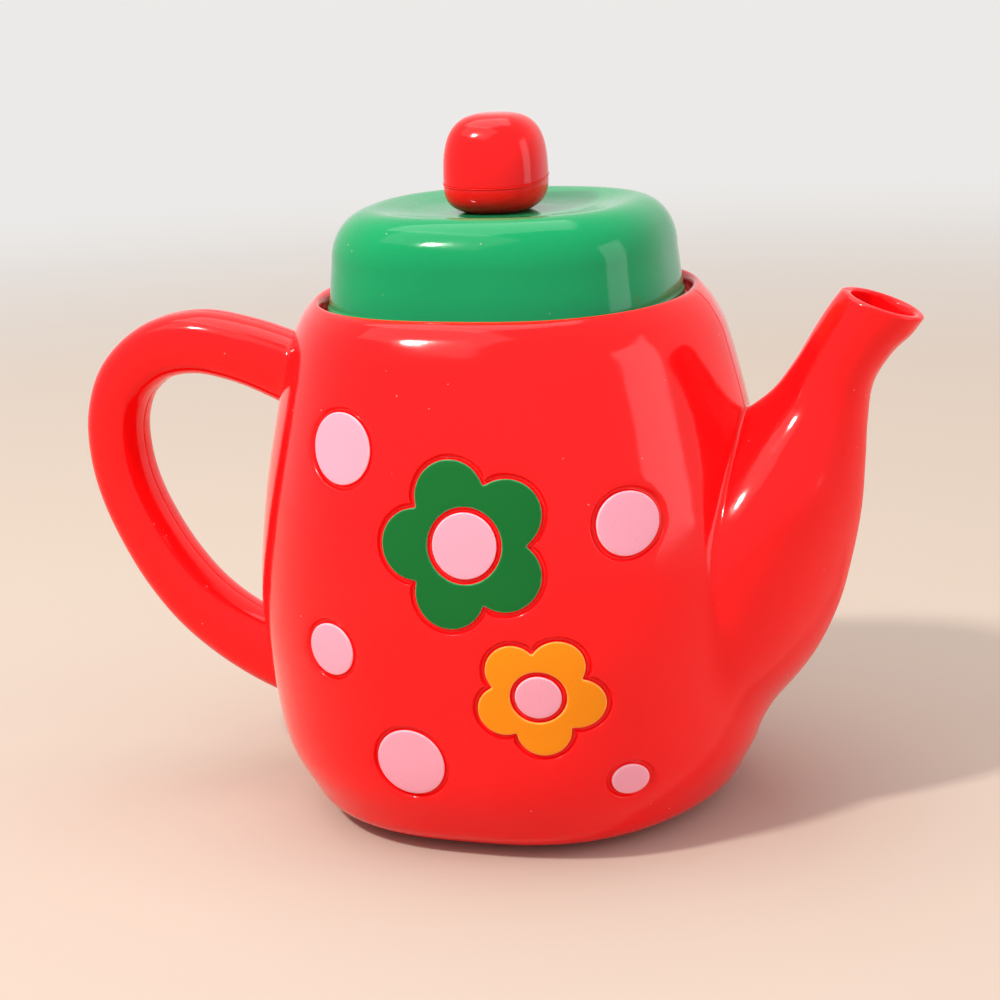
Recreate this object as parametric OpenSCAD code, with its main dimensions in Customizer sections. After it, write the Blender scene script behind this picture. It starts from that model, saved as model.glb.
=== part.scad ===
// Toy teapot: a squat pot made of two moulded half shells that meet in the plane of its spout
// and handle, a lid that lifts off, and a hollow knob in two halves held to the lid by a screw.
// X runs from the handle to the spout, the front faces -Y, Z is up, and the origin is the
// middle of the flat base. All lengths are in millimetres.

/* [Pot] */
// Width of the pot at its belly, without spout and handle
pot_w = 107.6; // [98:0.2:118]
// Depth of the pot at its belly, front to back
pot_d = 105.2; // [96:0.2:116]
// Height of the pot up to the top of its rim
pot_h = 106; // [98:0.5:116]
// Thickness of the moulded walls of the pot
wall = 2; // [1.6:0.1:2.4]

/* [Mouth] */
// Depth of the ledge that the lid rests on, below the rim
ledge_drop = 3.4; // [3:0.1:5]
// Thickness of the ledge
ledge_t = 2; // [1.6:0.1:2.4]
// How far the lid overlaps the ledge all round
ledge_reach = 3.2; // [2.6:0.1:3.6]
// Gap between the lid and the well that it drops into
well_gap = 1.5; // [1:0.1:2]

/* [Lid] */
// Width of the lid at its foot
lid_w = 69.4; // [66:0.2:72]
// Depth of the lid at its foot
lid_d = 67.4; // [64:0.2:70]
// Height of the lid's crest above the rim of the pot
lid_rise = 17.6; // [16:0.1:22]
// Width of the big rounded edge on top, seen from above
lid_edge_r = 8; // [6.5:0.1:9.5]
// Height of the big rounded edge
lid_edge_h = 9.8; // [8:0.1:11]
// Depth of the dish in the top of the lid
lid_dish = 1.7; // [1:0.1:2.6]
// Length over which the dish falls from the crest to its floor
lid_dish_run = 14; // [11:0.5:17]
// Thickness of the lid's walls
lid_wall = 1.8; // [1.4:0.1:2.2]
// Height of the locating collar that hangs below the ledge
collar_h = 6; // [4:0.5:8]

/* [Knob] */
// How far the knob stands off the middle of the lid, away from the spout
knob_off = 1.4; // [0:0.1:2]
// Width of the knob at its seam
knob_w = 20.4; // [18:0.2:24]
// Height of the lower half of the knob, at its middle
knob_low_h = 6.5; // [6:0.1:9]
// Height of the upper half of the knob, at its middle
knob_high_h = 13; // [12:0.1:17]
// Thickness of the knob's walls
knob_wall = 1.8; // [1.4:0.1:2.2]
// Radius of the screw's shank
screw_r = 1.4; // [1.2:0.1:1.7]
// Radius of the screw's head
screw_head_r = 2.9; // [2.5:0.1:3.4]
// Outer radius of the washer under the screw's head
washer_r = 4.6; // [4:0.1:6]

/* [Handle] */
// How far the middle of the grip stands out beyond the belly
handle_out = 35.9; // [30:0.1:42]
// Height of the grip's highest point, at its middle line
handle_high = 94.2; // [88:0.1:100]
// Height where the grip runs back into the pot, at its middle line
handle_low = 24; // [18:0.1:30]
// Thickness of the grip seen from the front
handle_t = 11.8; // [10:0.1:14]
// Depth of the grip, front to back
handle_d = 15; // [13:0.1:18]

/* [Spout] */
// How far the lip of the spout stands out beyond the belly
spout_out = 30.2; // [25:0.1:36]
// Height of the top of the spout's lip
spout_h = 106.8; // [98:0.1:114]
// Depth of the spout where it is widest, front to back
spout_d = 56; // [48:0.5:60]

/* [Decoration] */
// Width of the groove round each coloured shape
groove_w = 1; // [0.7:0.1:1.3]
// Depth of the groove
groove_deep = 0.8; // [0.5:0.1:1.1]
// Thickness of the coloured layer, which is let into the wall
paint_t = 0.3; // [0.2:0.05:0.4]
// Width of the largest dot
dot_w = 13.8; // [11:0.1:15]
// Width of the green flower across its petals
green_w = 32.6; // [28:0.1:35]
// Width of the green flower's middle
green_mid_w = 12.4; // [10:0.1:13]
// Width of the orange flower across its petals
orange_w = 24.2; // [21:0.1:27]
// Width of the orange flower's middle
orange_mid_w = 8.5; // [7:0.1:9.5]

/* [Hidden] */

// One overrun serves every cut
over = 1;
// Parts that are cut by a mating part get this much running room, on the radius
peg_fit = 0.05;

// Colours
shell_red = "#e8202a";
lid_green = "#16a85c";
petal_green = "#0d7a3c";
petal_orange = "#f29a12";
dot_pink = "#f2a4b8";
steel = "#b8bcc0";

// Half widths of the pot against height, both as shares of the belly and of the height
pot_profile_shares = [[0, 0.645], [0.028, 0.799], [0.075, 0.87], [0.151, 0.939], [0.264, 0.974],
    [0.425, 1], [0.613, 0.963], [0.802, 0.887], [0.925, 0.822], [0.955, 0.794], [0.984, 0.755],
    [1, 0.7]];
// Heights of the rings that make the pot's skin, and of those that make its hollow
pot_ring_shares = [0, 0.006, 0.017, 0.035, 0.06, 0.1, 0.151, 0.204, 0.27, 0.345, 0.425,
    0.52, 0.613, 0.71, 0.802, 0.87, 0.925, 0.955, 0.975, 0.99, 1];
cavity_ring_shares = [0, 0.02, 0.06, 0.14, 0.26, 0.42, 0.6, 0.78, 0.92, 1];
// The pot grows a little deeper, compared with its width, towards the rim
depth_gain_share = 0.048;
belly_share = 0.425;
// Powers of the plan's outline: how flat the front is, and how round the sides are
front_power = 2.75;
side_power = 1.67;
// The profile's slope is taken over this share of the height to each side
lean_step_share = 0.004;
// Number of steps round each half of the pot
pot_steps = 28;
cavity_steps = 16;

half_w = pot_w / 2;
half_d = pot_d / 2;
ledge_z = pot_h - ledge_drop;
cavity_top = ledge_z - ledge_t;

// Height over which the well's lip is rounded, and how far it opens
lip_h = 1.8;
lip_open = 2;

// The lid's outline is a rounded square
lid_power = 2.5;
lid_steps = 40;
lid_edge_steps = 6;
lid_inner_steps = 3;
// Room under the lid's foot, so that the lid rests on its flange without binding
seat_gap = 0.1;
lid_foot = ledge_z + seat_gap;
lid_crest = pot_h + lid_rise;
lid_edge_z = lid_crest - lid_edge_h;
// The lid narrows by this much from its foot to the rounded edge
lid_draft = 0.9;
bead_h = 2;
bead_out = 0.35;
dish_z = lid_crest - lid_dish;
// The dish falls away from the crest: shares of its run against shares of its depth
dish_shares = [[0.12, 0.08], [0.35, 0.36], [0.65, 0.76], [1, 1]];
mouth_half_w = lid_w / 2 - ledge_reach;
mouth_half_d = lid_d / 2 - ledge_reach;
collar_gap = 0.5;
collar_t = 1.6;

// The knob is a rounded square too
knob_power = 2.5;
knob_steps = 32;
knob_seam_z = dish_z + knob_low_h;
knob_top_z = knob_seam_z + knob_high_h;
knob_foot_share = 0.93;
knob_low_power = 3;
knob_high_power = 3.1;
knob_taper_share = 0.02;
// The seam of the knob leans down to the front by this share
knob_lean_share = 0.1;
knob_low_shares = [0.93, 0.86, 0.75, 0.6, 0.42, 0.22, 0];
knob_high_shares = [0, 0.2, 0.38, 0.53, 0.66, 0.77, 0.86, 0.925, 0.968, 0.992];
// Width of the hollow in the lower half at mid height, and where the upper half's hollow narrows
knob_cup_share = 0.9;
dome_from_share = 0.3;
knob_seam_lip = 0.15;
knob_seam_h = 0.5;
round_steps = 48;
knob_plug_t = 1;
knob_plug_h = 2;
post_r = 3.2;
screw_fit = 0.05;
lid_hole_r = screw_r + 0.3;
screw_bite = 8;
washer_t = 0.8;
screw_head_h = 1.7;
screw_slot_w = 0.8;
screw_slot_deep = 0.8;

// Middle line of the grip, from its upper root to its lower root: how far out, how high, and
// how thick it is there, as shares of the handle's own sizes
handle_path_shares = [[-0.33, 0.885, 1.28], [-0.106, 0.934, 1.2], [0.145, 0.977, 1.15],
    [0.423, 1, 1.13], [0.688, 0.972, 1.08], [0.895, 0.888, 1.03], [0.99, 0.776, 1],
    [1, 0.655, 1], [0.952, 0.534, 1], [0.852, 0.413, 1.02], [0.715, 0.295, 1.06],
    [0.54, 0.188, 1.1], [0.334, 0.104, 1.15], [0.101, 0.04, 1.24], [-0.17, -0.01, 1.36]];
handle_power = 3.2;
handle_steps = 10;
handle_bore_steps = 8;
handle_bits = 2;
// The locating pegs stand on these marks of the middle line
peg_marks = [4, 7, 11];
peg_r = 1.3;
peg_tip_r = 1;
peg_boss_r = 2.5;
peg_foot_r = 3;
peg_h = 3;
peg_root = 2;
peg_steps = 24;

// Sections of the spout from its root to its lip. Each row gives the upper and the lower edge,
// out from the belly and up, then the depth, and then the two powers of the section's outline
spout_shares = [[-1.19, 0.2, -0.26, 0.13, 0.8, 1.8, 1.3], [-1.15, 0.3, 0.03, 0.215, 0.93, 1.8, 1.3],
    [-1.1, 0.42, 0.268, 0.302, 0.98, 1.8, 1.3], [-0.98, 0.53, 0.43, 0.398, 0.95, 1.8, 1.3],
    [-0.8, 0.62, 0.523, 0.494, 0.88, 1.8, 1.3], [-0.53, 0.695, 0.585, 0.588, 0.73, 1.8, 1.35],
    [-0.26, 0.752, 0.61, 0.68, 0.53, 1.85, 1.45], [-0.01, 0.806, 0.625, 0.757, 0.385, 1.9, 1.6],
    [0.155, 0.866, 0.662, 0.824, 0.305, 2, 1.8], [0.292, 0.93, 0.78, 0.879, 0.283, 2, 1.9],
    [0.392, 0.973, 0.91, 0.916, 0.287, 2, 2], [0.468, 1, 0.99, 0.947, 0.293, 2, 2]];
spout_steps = 13;
spout_bits = 2;
spout_bore_steps = 9;
// The bore runs on past the lip by this share of the last section
bore_run_share = 0.6;

// Locating tabs on the floor, each of which laps over the other shell
tab_w = 8;
tab_tip_w = 6;
tab_t = 1.4;
tab_tip_t = 0.8;
tab_lap = 5;
tab_root = 4;
tab_fit = 0.05;
front_tab_shares = [-0.48, 0, 0.48];
back_tab_shares = [-0.24, 0.24];

// Places on the front, as shares of the half width and of the height
green_place_shares = [0.1, 0.626];
green_turn = 108.4;
orange_place_shares = [0.343, 0.351];
orange_turn = 130.4;
// Each dot: across, up, width and height, both as shares of the largest dot
dot_shares = [[-0.375, 0.782, 0.94, 0.97], [0.632, 0.65, 0.7, 0.89], [-0.429, 0.416, 0.73, 0.75],
    [-0.147, 0.209, 1, 1], [0.615, 0.169, 0.44, 0.48]];
petals = 5;
// Reach and radius of each petal's circle, as shares of the flower's half width
petal_reach_share = 0.52;
petal_round_share = 0.48;
petal_blend = 14;
flower_steps = 45;
dot_steps = 20;
column_start = half_d / 4;

// Smooth curve through a table of pairs
function cell(tab, x, i = 0) = (i >= len(tab) - 2 || x < tab[i + 1][0]) ? i : cell(tab, x, i + 1);
function lean(tab, i) = let (a = tab[max(i - 1, 0)], b = tab[min(i + 1, len(tab) - 1)])
    (b[1] - a[1]) / (b[0] - a[0]);
function curve(tab, x) = let (i = cell(tab, x), a = tab[i], b = tab[i + 1], h = b[0] - a[0],
    t = (x - a[0]) / h, u = t * t, v = u * t)
    (2 * v - 3 * u + 1) * a[1] + (v - 2 * u + t) * h * lean(tab, i)
    + (3 * u - 2 * v) * b[1] + (v - u) * h * lean(tab, i + 1);
// Smooth curve through rows of numbers, with some bits between each two rows
function knot(rows, i) = rows[min(max(i, 0), len(rows) - 1)];
function between(a, b, c, d, t) =
    (2 * b + (c - a) * t + (2 * a - 5 * b + 4 * c - d) * t * t + (3 * b - 3 * c + d - a) * t * t * t) / 2;
function smooth(rows, bits) = [for (i = [0:len(rows) - 2], k = [0:bits - 1])
    between(knot(rows, i - 1), knot(rows, i), knot(rows, i + 1), knot(rows, i + 2), k / bits),
    rows[len(rows) - 1]];

// Pot: half width at a height, and how much a wall's thickness counts sideways there
function pot_half(z) = half_w * curve(pot_profile_shares, z / pot_h);
function share_lean(s) = let (a = max(s - lean_step_share, 0), b = min(s + lean_step_share, 1))
    (curve(pot_profile_shares, b) - curve(pot_profile_shares, a)) / (b - a);
function pot_lean(z) = half_w / pot_h * share_lean(z / pot_h);
function pot_ratio(z) = half_d / half_w * (1 + depth_gain_share * (z / pot_h - belly_share));
function side(c, p, q) = pow(max(1 - pow(abs(c), p), 0), 1 / q);
function pot_ring(z, inset, n) = let (k = inset * sqrt(1 + pow(pot_lean(z), 2)), a = pot_half(z) - k,
    b = pot_half(z) * pot_ratio(z) - k)
    [for (j = [0:n]) [a * cos(180 * j / n), -b * side(cos(180 * j / n), front_power, side_power), z]];
function half_ring(c, n, d, p, q, steps) = [for (j = [0:steps])
    [c[0] + n[0] * cos(180 * j / steps), -d * side(cos(180 * j / steps), p, q),
    c[1] + n[1] * cos(180 * j / steps)]];
function round_ring(a, b, z, power, steps) = [for (j = [0:steps - 1]) let (c = cos(-360 * j / steps),
    s = sin(-360 * j / steps))
    [a * sign(c) * pow(abs(c), 2 / power), b * sign(s) * pow(abs(s), 2 / power), z]];

// Solid of half rings, open side closed by one flat face in the parting plane
module half_loft(rings) {
    m = len(rings[0]);
    r = len(rings) - 1;
    skin = [for (i = [0:r - 1], j = [0:m - 2], k = [0, 1]) k == 0
        ? [i * m + j, i * m + j + 1, (i + 1) * m + j + 1]
        : [i * m + j, (i + 1) * m + j + 1, (i + 1) * m + j]];
    start = [for (j = [m - 1:-1:0]) j];
    end = [for (j = [0:m - 1]) r * m + j];
    parting = concat([for (i = [0:r]) i * m], [for (i = [r:-1:0]) i * m + m - 1]);
    polyhedron([for (ring = rings) each ring], concat(skin, [start, end, parting]), convexity = 10);
}

// Solid of whole rings
module loft(rings) {
    m = len(rings[0]);
    r = len(rings) - 1;
    skin = [for (i = [0:r - 1], j = [0:m - 1], k = [0, 1]) k == 0
        ? [i * m + j, i * m + (j + 1) % m, (i + 1) * m + (j + 1) % m]
        : [i * m + j, (i + 1) * m + (j + 1) % m, (i + 1) * m + j]];
    start = [for (j = [m - 1:-1:0]) j];
    end = [for (j = [0:m - 1]) r * m + j];
    polyhedron([for (ring = rings) each ring], concat(skin, [start, end]), convexity = 10);
}

// Outer form of half the pot, or the same form drawn in by an inset
module half_pot(inset = 0) {
    half_loft([for (s = pot_ring_shares) pot_ring(pot_h * s, inset, pot_steps)]);
}

module cavity() {
    rise = cavity_top - wall;
    half_loft([for (s = cavity_ring_shares) pot_ring(wall + rise * s, wall, cavity_steps)]);
}

// Well for the lid, with a rounded lip, and the mouth through the ledge
module mouth() {
    a = lid_w / 2 + well_gap;
    b = lid_d / 2 + well_gap;
    loft([for (k = [[ledge_z, 0], [pot_h - lip_h, 0], [pot_h - lip_h / 3, lip_open / 3],
        [pot_h + lip_h * 2 / 3, lip_open * 5 / 3]])
        round_ring(a + k[1], b + k[1], k[0], lid_power, lid_steps)]);
    loft([for (z = [cavity_top - over, ledge_z + over])
        round_ring(mouth_half_w, mouth_half_d, z, lid_power, lid_steps)]);
}

// Handle
function handle_point(s) = [-(half_w + handle_out * s[0]), handle_low + (handle_high - handle_low) * s[1],
    handle_t / 2 * s[2]];
handle_marks = [for (s = handle_path_shares) handle_point(s)];
handle_line = smooth(handle_marks, handle_bits);
function along(line, i) = let (a = knot(line, i - 1), b = knot(line, i + 1),
    l = norm([b[0] - a[0], b[1] - a[1]]))
    [(b[1] - a[1]) / l, -(b[0] - a[0]) / l];
module handle(line, inset, steps) {
    half_loft([for (i = [0:len(line) - 1]) let (p = line[i])
        half_ring([p[0], p[1]], along(line, i) * (p[2] - inset), handle_d / 2 - inset,
            handle_power, handle_power, steps)]);
}

// Spout
// Each row of the spout: its upper and lower edge, its half depth and its two powers
function spout_row(s) = [half_w + spout_out * s[0], spout_h * s[1], half_w + spout_out * s[2],
    spout_h * s[3], spout_d / 2 * s[4], s[5], s[6]];
spout_marks = [for (s = spout_shares) spout_row(s)];
spout_rows = smooth(spout_marks, spout_bits);
function spout_ring(r, inset, steps) = let (n = [r[2] - r[0], r[3] - r[1]] / 2, k = 1 - inset / norm(n))
    half_ring([r[0] + r[2], r[1] + r[3]] / 2, n * k, r[4] - inset, r[5], r[6], steps);
module spout() {
    half_loft([for (r = spout_rows) spout_ring(r, 0, spout_steps)]);
}
module spout_bore() {
    n = len(spout_marks) - 1;
    end = spout_marks[n] + (spout_marks[n] - spout_marks[n - 1]) * bore_run_share;
    half_loft([for (i = [0:n]) spout_ring(i < n ? spout_marks[i] : end, wall, spout_bore_steps)]);
}

// Outlines of the decoration, drawn in the plane of the front
function petal(r, a) = let (d = r * petal_reach_share, q = r * petal_round_share, s = d * sin(a))
    abs(s) < q && cos(a) > 0 ? d * cos(a) + sqrt(q * q - s * s) : 0;
function flower_radius(r, a) =
    pow(pow(petal(r, a), petal_blend) + pow(petal(r, 360 / petals - a), petal_blend), 1 / petal_blend);
module flower_outline(w, turn, grow = 0) {
    gap = 360 / petals;
    polygon([for (j = [0:flower_steps - 1]) let (a = 360 * j / flower_steps, f = a - gap * floor(a / gap),
        r = flower_radius(w / 2, f) + grow) [r * cos(a + turn), r * sin(a + turn)]]);
}
module disc_outline(w, h, grow = 0) {
    polygon([for (j = [0:dot_steps - 1]) let (a = 360 * j / dot_steps)
        [(w / 2 + grow) * cos(a), (h / 2 + grow) * sin(a)]]);
}
module place(shares) {
    translate([half_w * shares[0], pot_h * shares[1]]) children();
}
module petals_shape(places, w, turn, mid_w) {
    place(places) difference() {
        flower_outline(w, turn);
        disc_outline(mid_w, mid_w, groove_w);
    }
}
module green_petals_shape() { petals_shape(green_place_shares, green_w, green_turn, green_mid_w); }
module orange_petals_shape() { petals_shape(orange_place_shares, orange_w, orange_turn, orange_mid_w); }
module green_middle_shape() { place(green_place_shares) disc_outline(green_mid_w, green_mid_w); }
module orange_middle_shape() { place(orange_place_shares) disc_outline(orange_mid_w, orange_mid_w); }
module dot_shape(i, grow = 0) {
    dot = dot_shares[i];
    place(dot) disc_outline(dot_w * dot[2], dot_w * dot[3], grow);
}

module painted_shapes() {
    green_petals_shape();
    green_middle_shape();
    orange_petals_shape();
    orange_middle_shape();
    for (i = [0:len(dot_shares) - 1]) dot_shape(i);
}
module grooved_shapes() {
    place(green_place_shares) flower_outline(green_w, green_turn, groove_w);
    place(orange_place_shares) flower_outline(orange_w, orange_turn, groove_w);
    for (i = [0:len(dot_shares) - 1]) dot_shape(i, groove_w);
}

// A shape of the front plane pushed forward through the wall
module column() {
    translate([0, -column_start, 0]) rotate([90, 0, 0])
        linear_extrude(half_d + over - column_start) children();
}

// Everything that both half shells share, drawn for the front one
module plain_shell() {
    difference() {
        union() {
            difference() {
                half_pot();
                difference() {
                    column() grooved_shapes();
                    half_pot(groove_deep);
                }
            }
            intersection() {
                column() painted_shapes();
                half_pot(paint_t);
            }
            spout();
            handle(handle_line, 0, handle_steps);
        }
        cavity();
        spout_bore();
        difference() {
            handle(handle_marks, wall, handle_bore_steps);
            half_pot();
        }
        mouth();
    }
}

// Round boss in the hollow handle, from the parting plane to the wall, where it widens
module boss(p) {
    translate([p[0], 0, p[1]]) rotate([90, 0, 0]) hull() {
        cylinder(h = handle_d / 4, r = peg_boss_r, $fn = peg_steps);
        translate([0, 0, handle_d / 4])
            cylinder(h = (handle_d / 2 - wall) / 2, r = peg_foot_r, $fn = peg_steps);
    }
}
// Peg with a lead at its tip, or with a fit the socket that takes it
module peg(p, fit = 0, root = peg_root) {
    translate([p[0], 0, p[1]]) rotate([-90, 0, 0]) hull() {
        translate([0, 0, -root]) cylinder(h = root + peg_h / 2 + fit, r = peg_r + fit, $fn = peg_steps);
        translate([0, 0, peg_h / 2]) cylinder(h = peg_h / 2 + fit, r = peg_tip_r + fit, $fn = peg_steps);
    }
}
// Tab on the floor, standing on the front shell
module tab(share) {
    translate([half_w * share, 0, 0]) {
        hull() {
            translate([-tab_w / 2, -tab_root, wall + tab_fit]) cube([tab_w, tab_root, tab_t]);
            translate([-tab_tip_w / 2, tab_lap - tab_tip_t, wall + tab_fit])
                cube([tab_tip_w, tab_tip_t, tab_tip_t]);
        }
        translate([-tab_w / 2, -tab_root, wall / 2]) cube([tab_w, tab_root - tab_fit, (wall + tab_t) / 2]);
    }
}

module front_shell() {
    color(shell_red) union() {
        plain_shell();
        for (k = peg_marks) {
            boss(handle_marks[k]);
            peg(handle_marks[k]);
        }
        for (s = front_tab_shares) tab(s);
    }
}

module back_shell() {
    color(shell_red) difference() {
        mirror([0, 1, 0]) union() {
            plain_shell();
            for (k = peg_marks) boss(handle_marks[k]);
            for (s = back_tab_shares) tab(s);
        }
        for (k = peg_marks) peg(handle_marks[k], peg_fit, over);
    }
}

// A coloured layer let into the front wall
module layer(tint) {
    color(tint) difference() {
        intersection() {
            column() children();
            half_pot();
        }
        half_pot(paint_t);
    }
}
module back_layer(tint) { mirror([0, 1, 0]) layer(tint) children(); }

module front_green_petals() { layer(petal_green) green_petals_shape(); }
module front_green_middle() { layer(dot_pink) green_middle_shape(); }
module front_orange_petals() { layer(petal_orange) orange_petals_shape(); }
module front_orange_middle() { layer(dot_pink) orange_middle_shape(); }
module front_dot(i) { layer(dot_pink) dot_shape(i); }
module back_green_petals() { back_layer(petal_green) green_petals_shape(); }
module back_green_middle() { back_layer(dot_pink) green_middle_shape(); }
module back_orange_petals() { back_layer(petal_orange) orange_petals_shape(); }
module back_orange_middle() { back_layer(dot_pink) orange_middle_shape(); }
module back_dot(i) { back_layer(dot_pink) dot_shape(i); }

// Lid: profile as pairs of inset from the foot's outline and height, from the foot to the dish
function lid_profile(t, n) = concat(
    [[lid_draft + t, lid_edge_z]],
    [for (k = [1:n]) let (a = 90 * k / n, r = lid_edge_r - t, h = lid_edge_h - t)
        [lid_draft + t + r * (1 - cos(a)), lid_edge_z + h * sin(a)]],
    [for (s = dish_shares)
        [lid_draft + lid_edge_r + lid_dish_run * s[0], lid_crest - t - lid_dish * s[1]]]);
function lid_rings(rows) = [for (k = rows)
    round_ring(lid_w / 2 - k[0], lid_d / 2 - k[0], k[1], lid_power, lid_steps)];
module lid() {
    color(lid_green) difference() {
        union() {
            difference() {
                loft(lid_rings(concat([[-bead_out, lid_foot], [-bead_out, lid_foot + bead_h],
                    [0, lid_foot + bead_h + bead_out]], lid_profile(0, lid_edge_steps))));
                loft(lid_rings(concat([[lid_wall, lid_foot - over]],
                    lid_profile(lid_wall, lid_inner_steps))));
            }
            // Flange that rests on the ledge, and the collar that hangs from it
            difference() {
                union() {
                    loft(lid_rings([[lid_wall / 2, lid_foot], [lid_wall / 2, lid_foot + collar_t]]));
                    loft(lid_rings([[ledge_reach + collar_gap, lid_foot - collar_h],
                        [ledge_reach + collar_gap, lid_foot + collar_t / 2]]));
                }
                loft(lid_rings([[ledge_reach + collar_gap + collar_t, lid_foot - collar_h - over],
                    [ledge_reach + collar_gap + collar_t, lid_foot + collar_t + over]]));
            }
        }
        at_knob(dish_z - lid_wall - over)
            cylinder(h = lid_wall + 2 * over, r = lid_hole_r, $fn = round_steps);
    }
}

// Knob: half width of the lower and of the upper half against a share of its height
function knob_low(s) = knob_w / 2 * pow(1 - pow(s, knob_low_power), 1 / knob_low_power);
function knob_high(s) = knob_w / 2 * (1 - knob_taper_share * s)
    * pow(1 - pow(s, knob_high_power), 1 / knob_high_power);
function knob_low_z(s) = knob_seam_z - knob_low_h * s / knob_foot_share;
// Ring of the knob, level or with a part w of the seam's lean
function knob_ring(a, z, w = 0) = [for (p = round_ring(a, a, z, knob_power, knob_steps))
    [p[0], p[1], z + w * knob_lean_share * p[1]]];
module at_knob(z) { translate([-knob_off, 0, z]) children(); }
module knob_base() {
    inner = knob_w / 2 - knob_wall;
    color(shell_red) at_knob(0) difference() {
        union() {
            difference() {
                loft(concat([for (s = knob_low_shares) if (s > 0)
                    knob_ring(knob_low(s), knob_low_z(s), 1 - s / knob_foot_share)],
                    [knob_ring(knob_w / 2, knob_seam_z - knob_seam_h, 1),
                    knob_ring(knob_w / 2 + knob_seam_lip, knob_seam_z, 1)]));
                loft([knob_ring(inner / 2, dish_z + knob_wall),
                    knob_ring(inner * knob_cup_share, knob_seam_z - knob_low_h / 2),
                    knob_ring(inner, knob_seam_z - knob_plug_h),
                    knob_ring(inner, knob_seam_z + 2 * over)]);
            }
            translate([0, 0, dish_z]) cylinder(h = screw_bite + over, r = post_r, $fn = round_steps);
        }
        translate([0, 0, dish_z - over])
            cylinder(h = screw_bite + over, r = screw_r + screw_fit, $fn = round_steps);
    }
}
module knob_cap() {
    inner = knob_w / 2 - knob_wall;
    k = 1 - knob_wall / (knob_w / 2);
    rise = knob_high_h - knob_wall;
    color(shell_red) at_knob(0) difference() {
        union() {
            loft(concat([knob_ring(knob_w / 2 + knob_seam_lip / 2, knob_seam_z, 1),
                knob_ring(knob_w / 2, knob_seam_z + knob_seam_h, 1)],
                [for (s = knob_high_shares) if (s > 0)
                    knob_ring(knob_high(s), knob_seam_z + knob_high_h * s, 1 - s)]));
            loft([knob_ring(inner - peg_fit, knob_seam_z - knob_plug_h + peg_fit),
                knob_ring(inner - peg_fit, knob_seam_z + knob_plug_h)]);
        }
        loft(concat([knob_ring(inner - knob_plug_t, knob_seam_z - knob_plug_h - over),
            knob_ring(inner - knob_plug_t, knob_seam_z + knob_plug_h)],
            [for (s = knob_high_shares) if (s > dome_from_share)
                knob_ring(knob_high(s) * k, knob_seam_z + rise * s)]));
    }
}

module knob_screw() {
    z = dish_z - lid_wall - washer_t;
    color(steel) difference() {
        union() {
            at_knob(z - screw_head_h) cylinder(h = screw_head_h, r = screw_head_r, $fn = round_steps);
            at_knob(z - screw_head_h / 2)
                cylinder(h = screw_head_h / 2 + washer_t + lid_wall + screw_bite - over, r = screw_r,
                    $fn = round_steps);
        }
        for (a = [0, 90]) at_knob(z - screw_head_h - over) rotate([0, 0, a])
            translate([-screw_head_r / 2, -screw_slot_w / 2, 0])
                cube([screw_head_r, screw_slot_w, screw_slot_deep + over]);
    }
}
module knob_washer() {
    z = dish_z - lid_wall - washer_t;
    color(steel) difference() {
        at_knob(z) cylinder(h = washer_t, r = washer_r, $fn = round_steps);
        at_knob(z - over) cylinder(h = washer_t + 2 * over, r = screw_r + screw_fit, $fn = round_steps);
    }
}

front_shell();
back_shell();
lid();
knob_base();
knob_cap();
knob_screw();
knob_washer();
front_green_petals();
front_green_middle();
front_orange_petals();
front_orange_middle();
front_dot(0);  // front_dot_1
front_dot(1);  // front_dot_2
front_dot(2);  // front_dot_3
front_dot(3);  // front_dot_4
front_dot(4);  // front_dot_5
back_green_petals();
back_green_middle();
back_orange_petals();
back_orange_middle();
back_dot(0);  // back_dot_1
back_dot(1);  // back_dot_2
back_dot(2);  // back_dot_3
back_dot(3);  // back_dot_4
back_dot(4);  // back_dot_5
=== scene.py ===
from functools import partial
from math import cos, radians, sin

import bmesh
import bpy
import numpy as np
from mathutils import Matrix, Vector, geometry


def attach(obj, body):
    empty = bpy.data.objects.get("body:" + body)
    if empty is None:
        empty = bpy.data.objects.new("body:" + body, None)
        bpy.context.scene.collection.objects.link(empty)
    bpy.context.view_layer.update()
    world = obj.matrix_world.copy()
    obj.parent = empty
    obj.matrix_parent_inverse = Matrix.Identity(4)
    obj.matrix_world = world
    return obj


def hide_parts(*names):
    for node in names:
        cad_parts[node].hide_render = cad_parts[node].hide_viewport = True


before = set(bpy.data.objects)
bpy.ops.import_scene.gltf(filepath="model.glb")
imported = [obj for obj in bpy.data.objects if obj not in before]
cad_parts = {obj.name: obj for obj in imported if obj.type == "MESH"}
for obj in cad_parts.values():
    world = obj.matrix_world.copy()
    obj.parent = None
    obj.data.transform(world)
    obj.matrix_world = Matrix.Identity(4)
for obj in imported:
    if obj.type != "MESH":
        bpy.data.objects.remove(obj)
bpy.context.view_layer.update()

bl_info = {
    "name": "Toy Teapot Pieces",
    "version": (1, 0, 0),
    "blender": (4, 5, 0),
    "location": "View3D > Sidebar > Teapot",
    "description": "Builds the visible pieces, materials and stage of a moulded toy teapot",
    "category": "Add Mesh",
}

# Shapes are worked out in millimetres and written to the meshes in metres
MM = 0.001

# Half widths of the pot against height, both as shares, and how its plan is rounded
PROFILE = [(0, 0.645), (0.028, 0.799), (0.075, 0.87), (0.151, 0.939), (0.264, 0.974), (0.425, 1),
           (0.613, 0.963), (0.802, 0.887), (0.925, 0.822), (0.955, 0.794), (0.984, 0.755), (1, 0.7)]
DEPTH_GAIN, BELLY_SHARE = 0.048, 0.425
FRONT_POWER, SIDE_POWER = 2.75, 1.67
# Radius in millimetres at which the wall is unrolled, and the length from spout to handle on it
UNROLL = 50
HALF_TURN = UNROLL * np.pi
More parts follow.
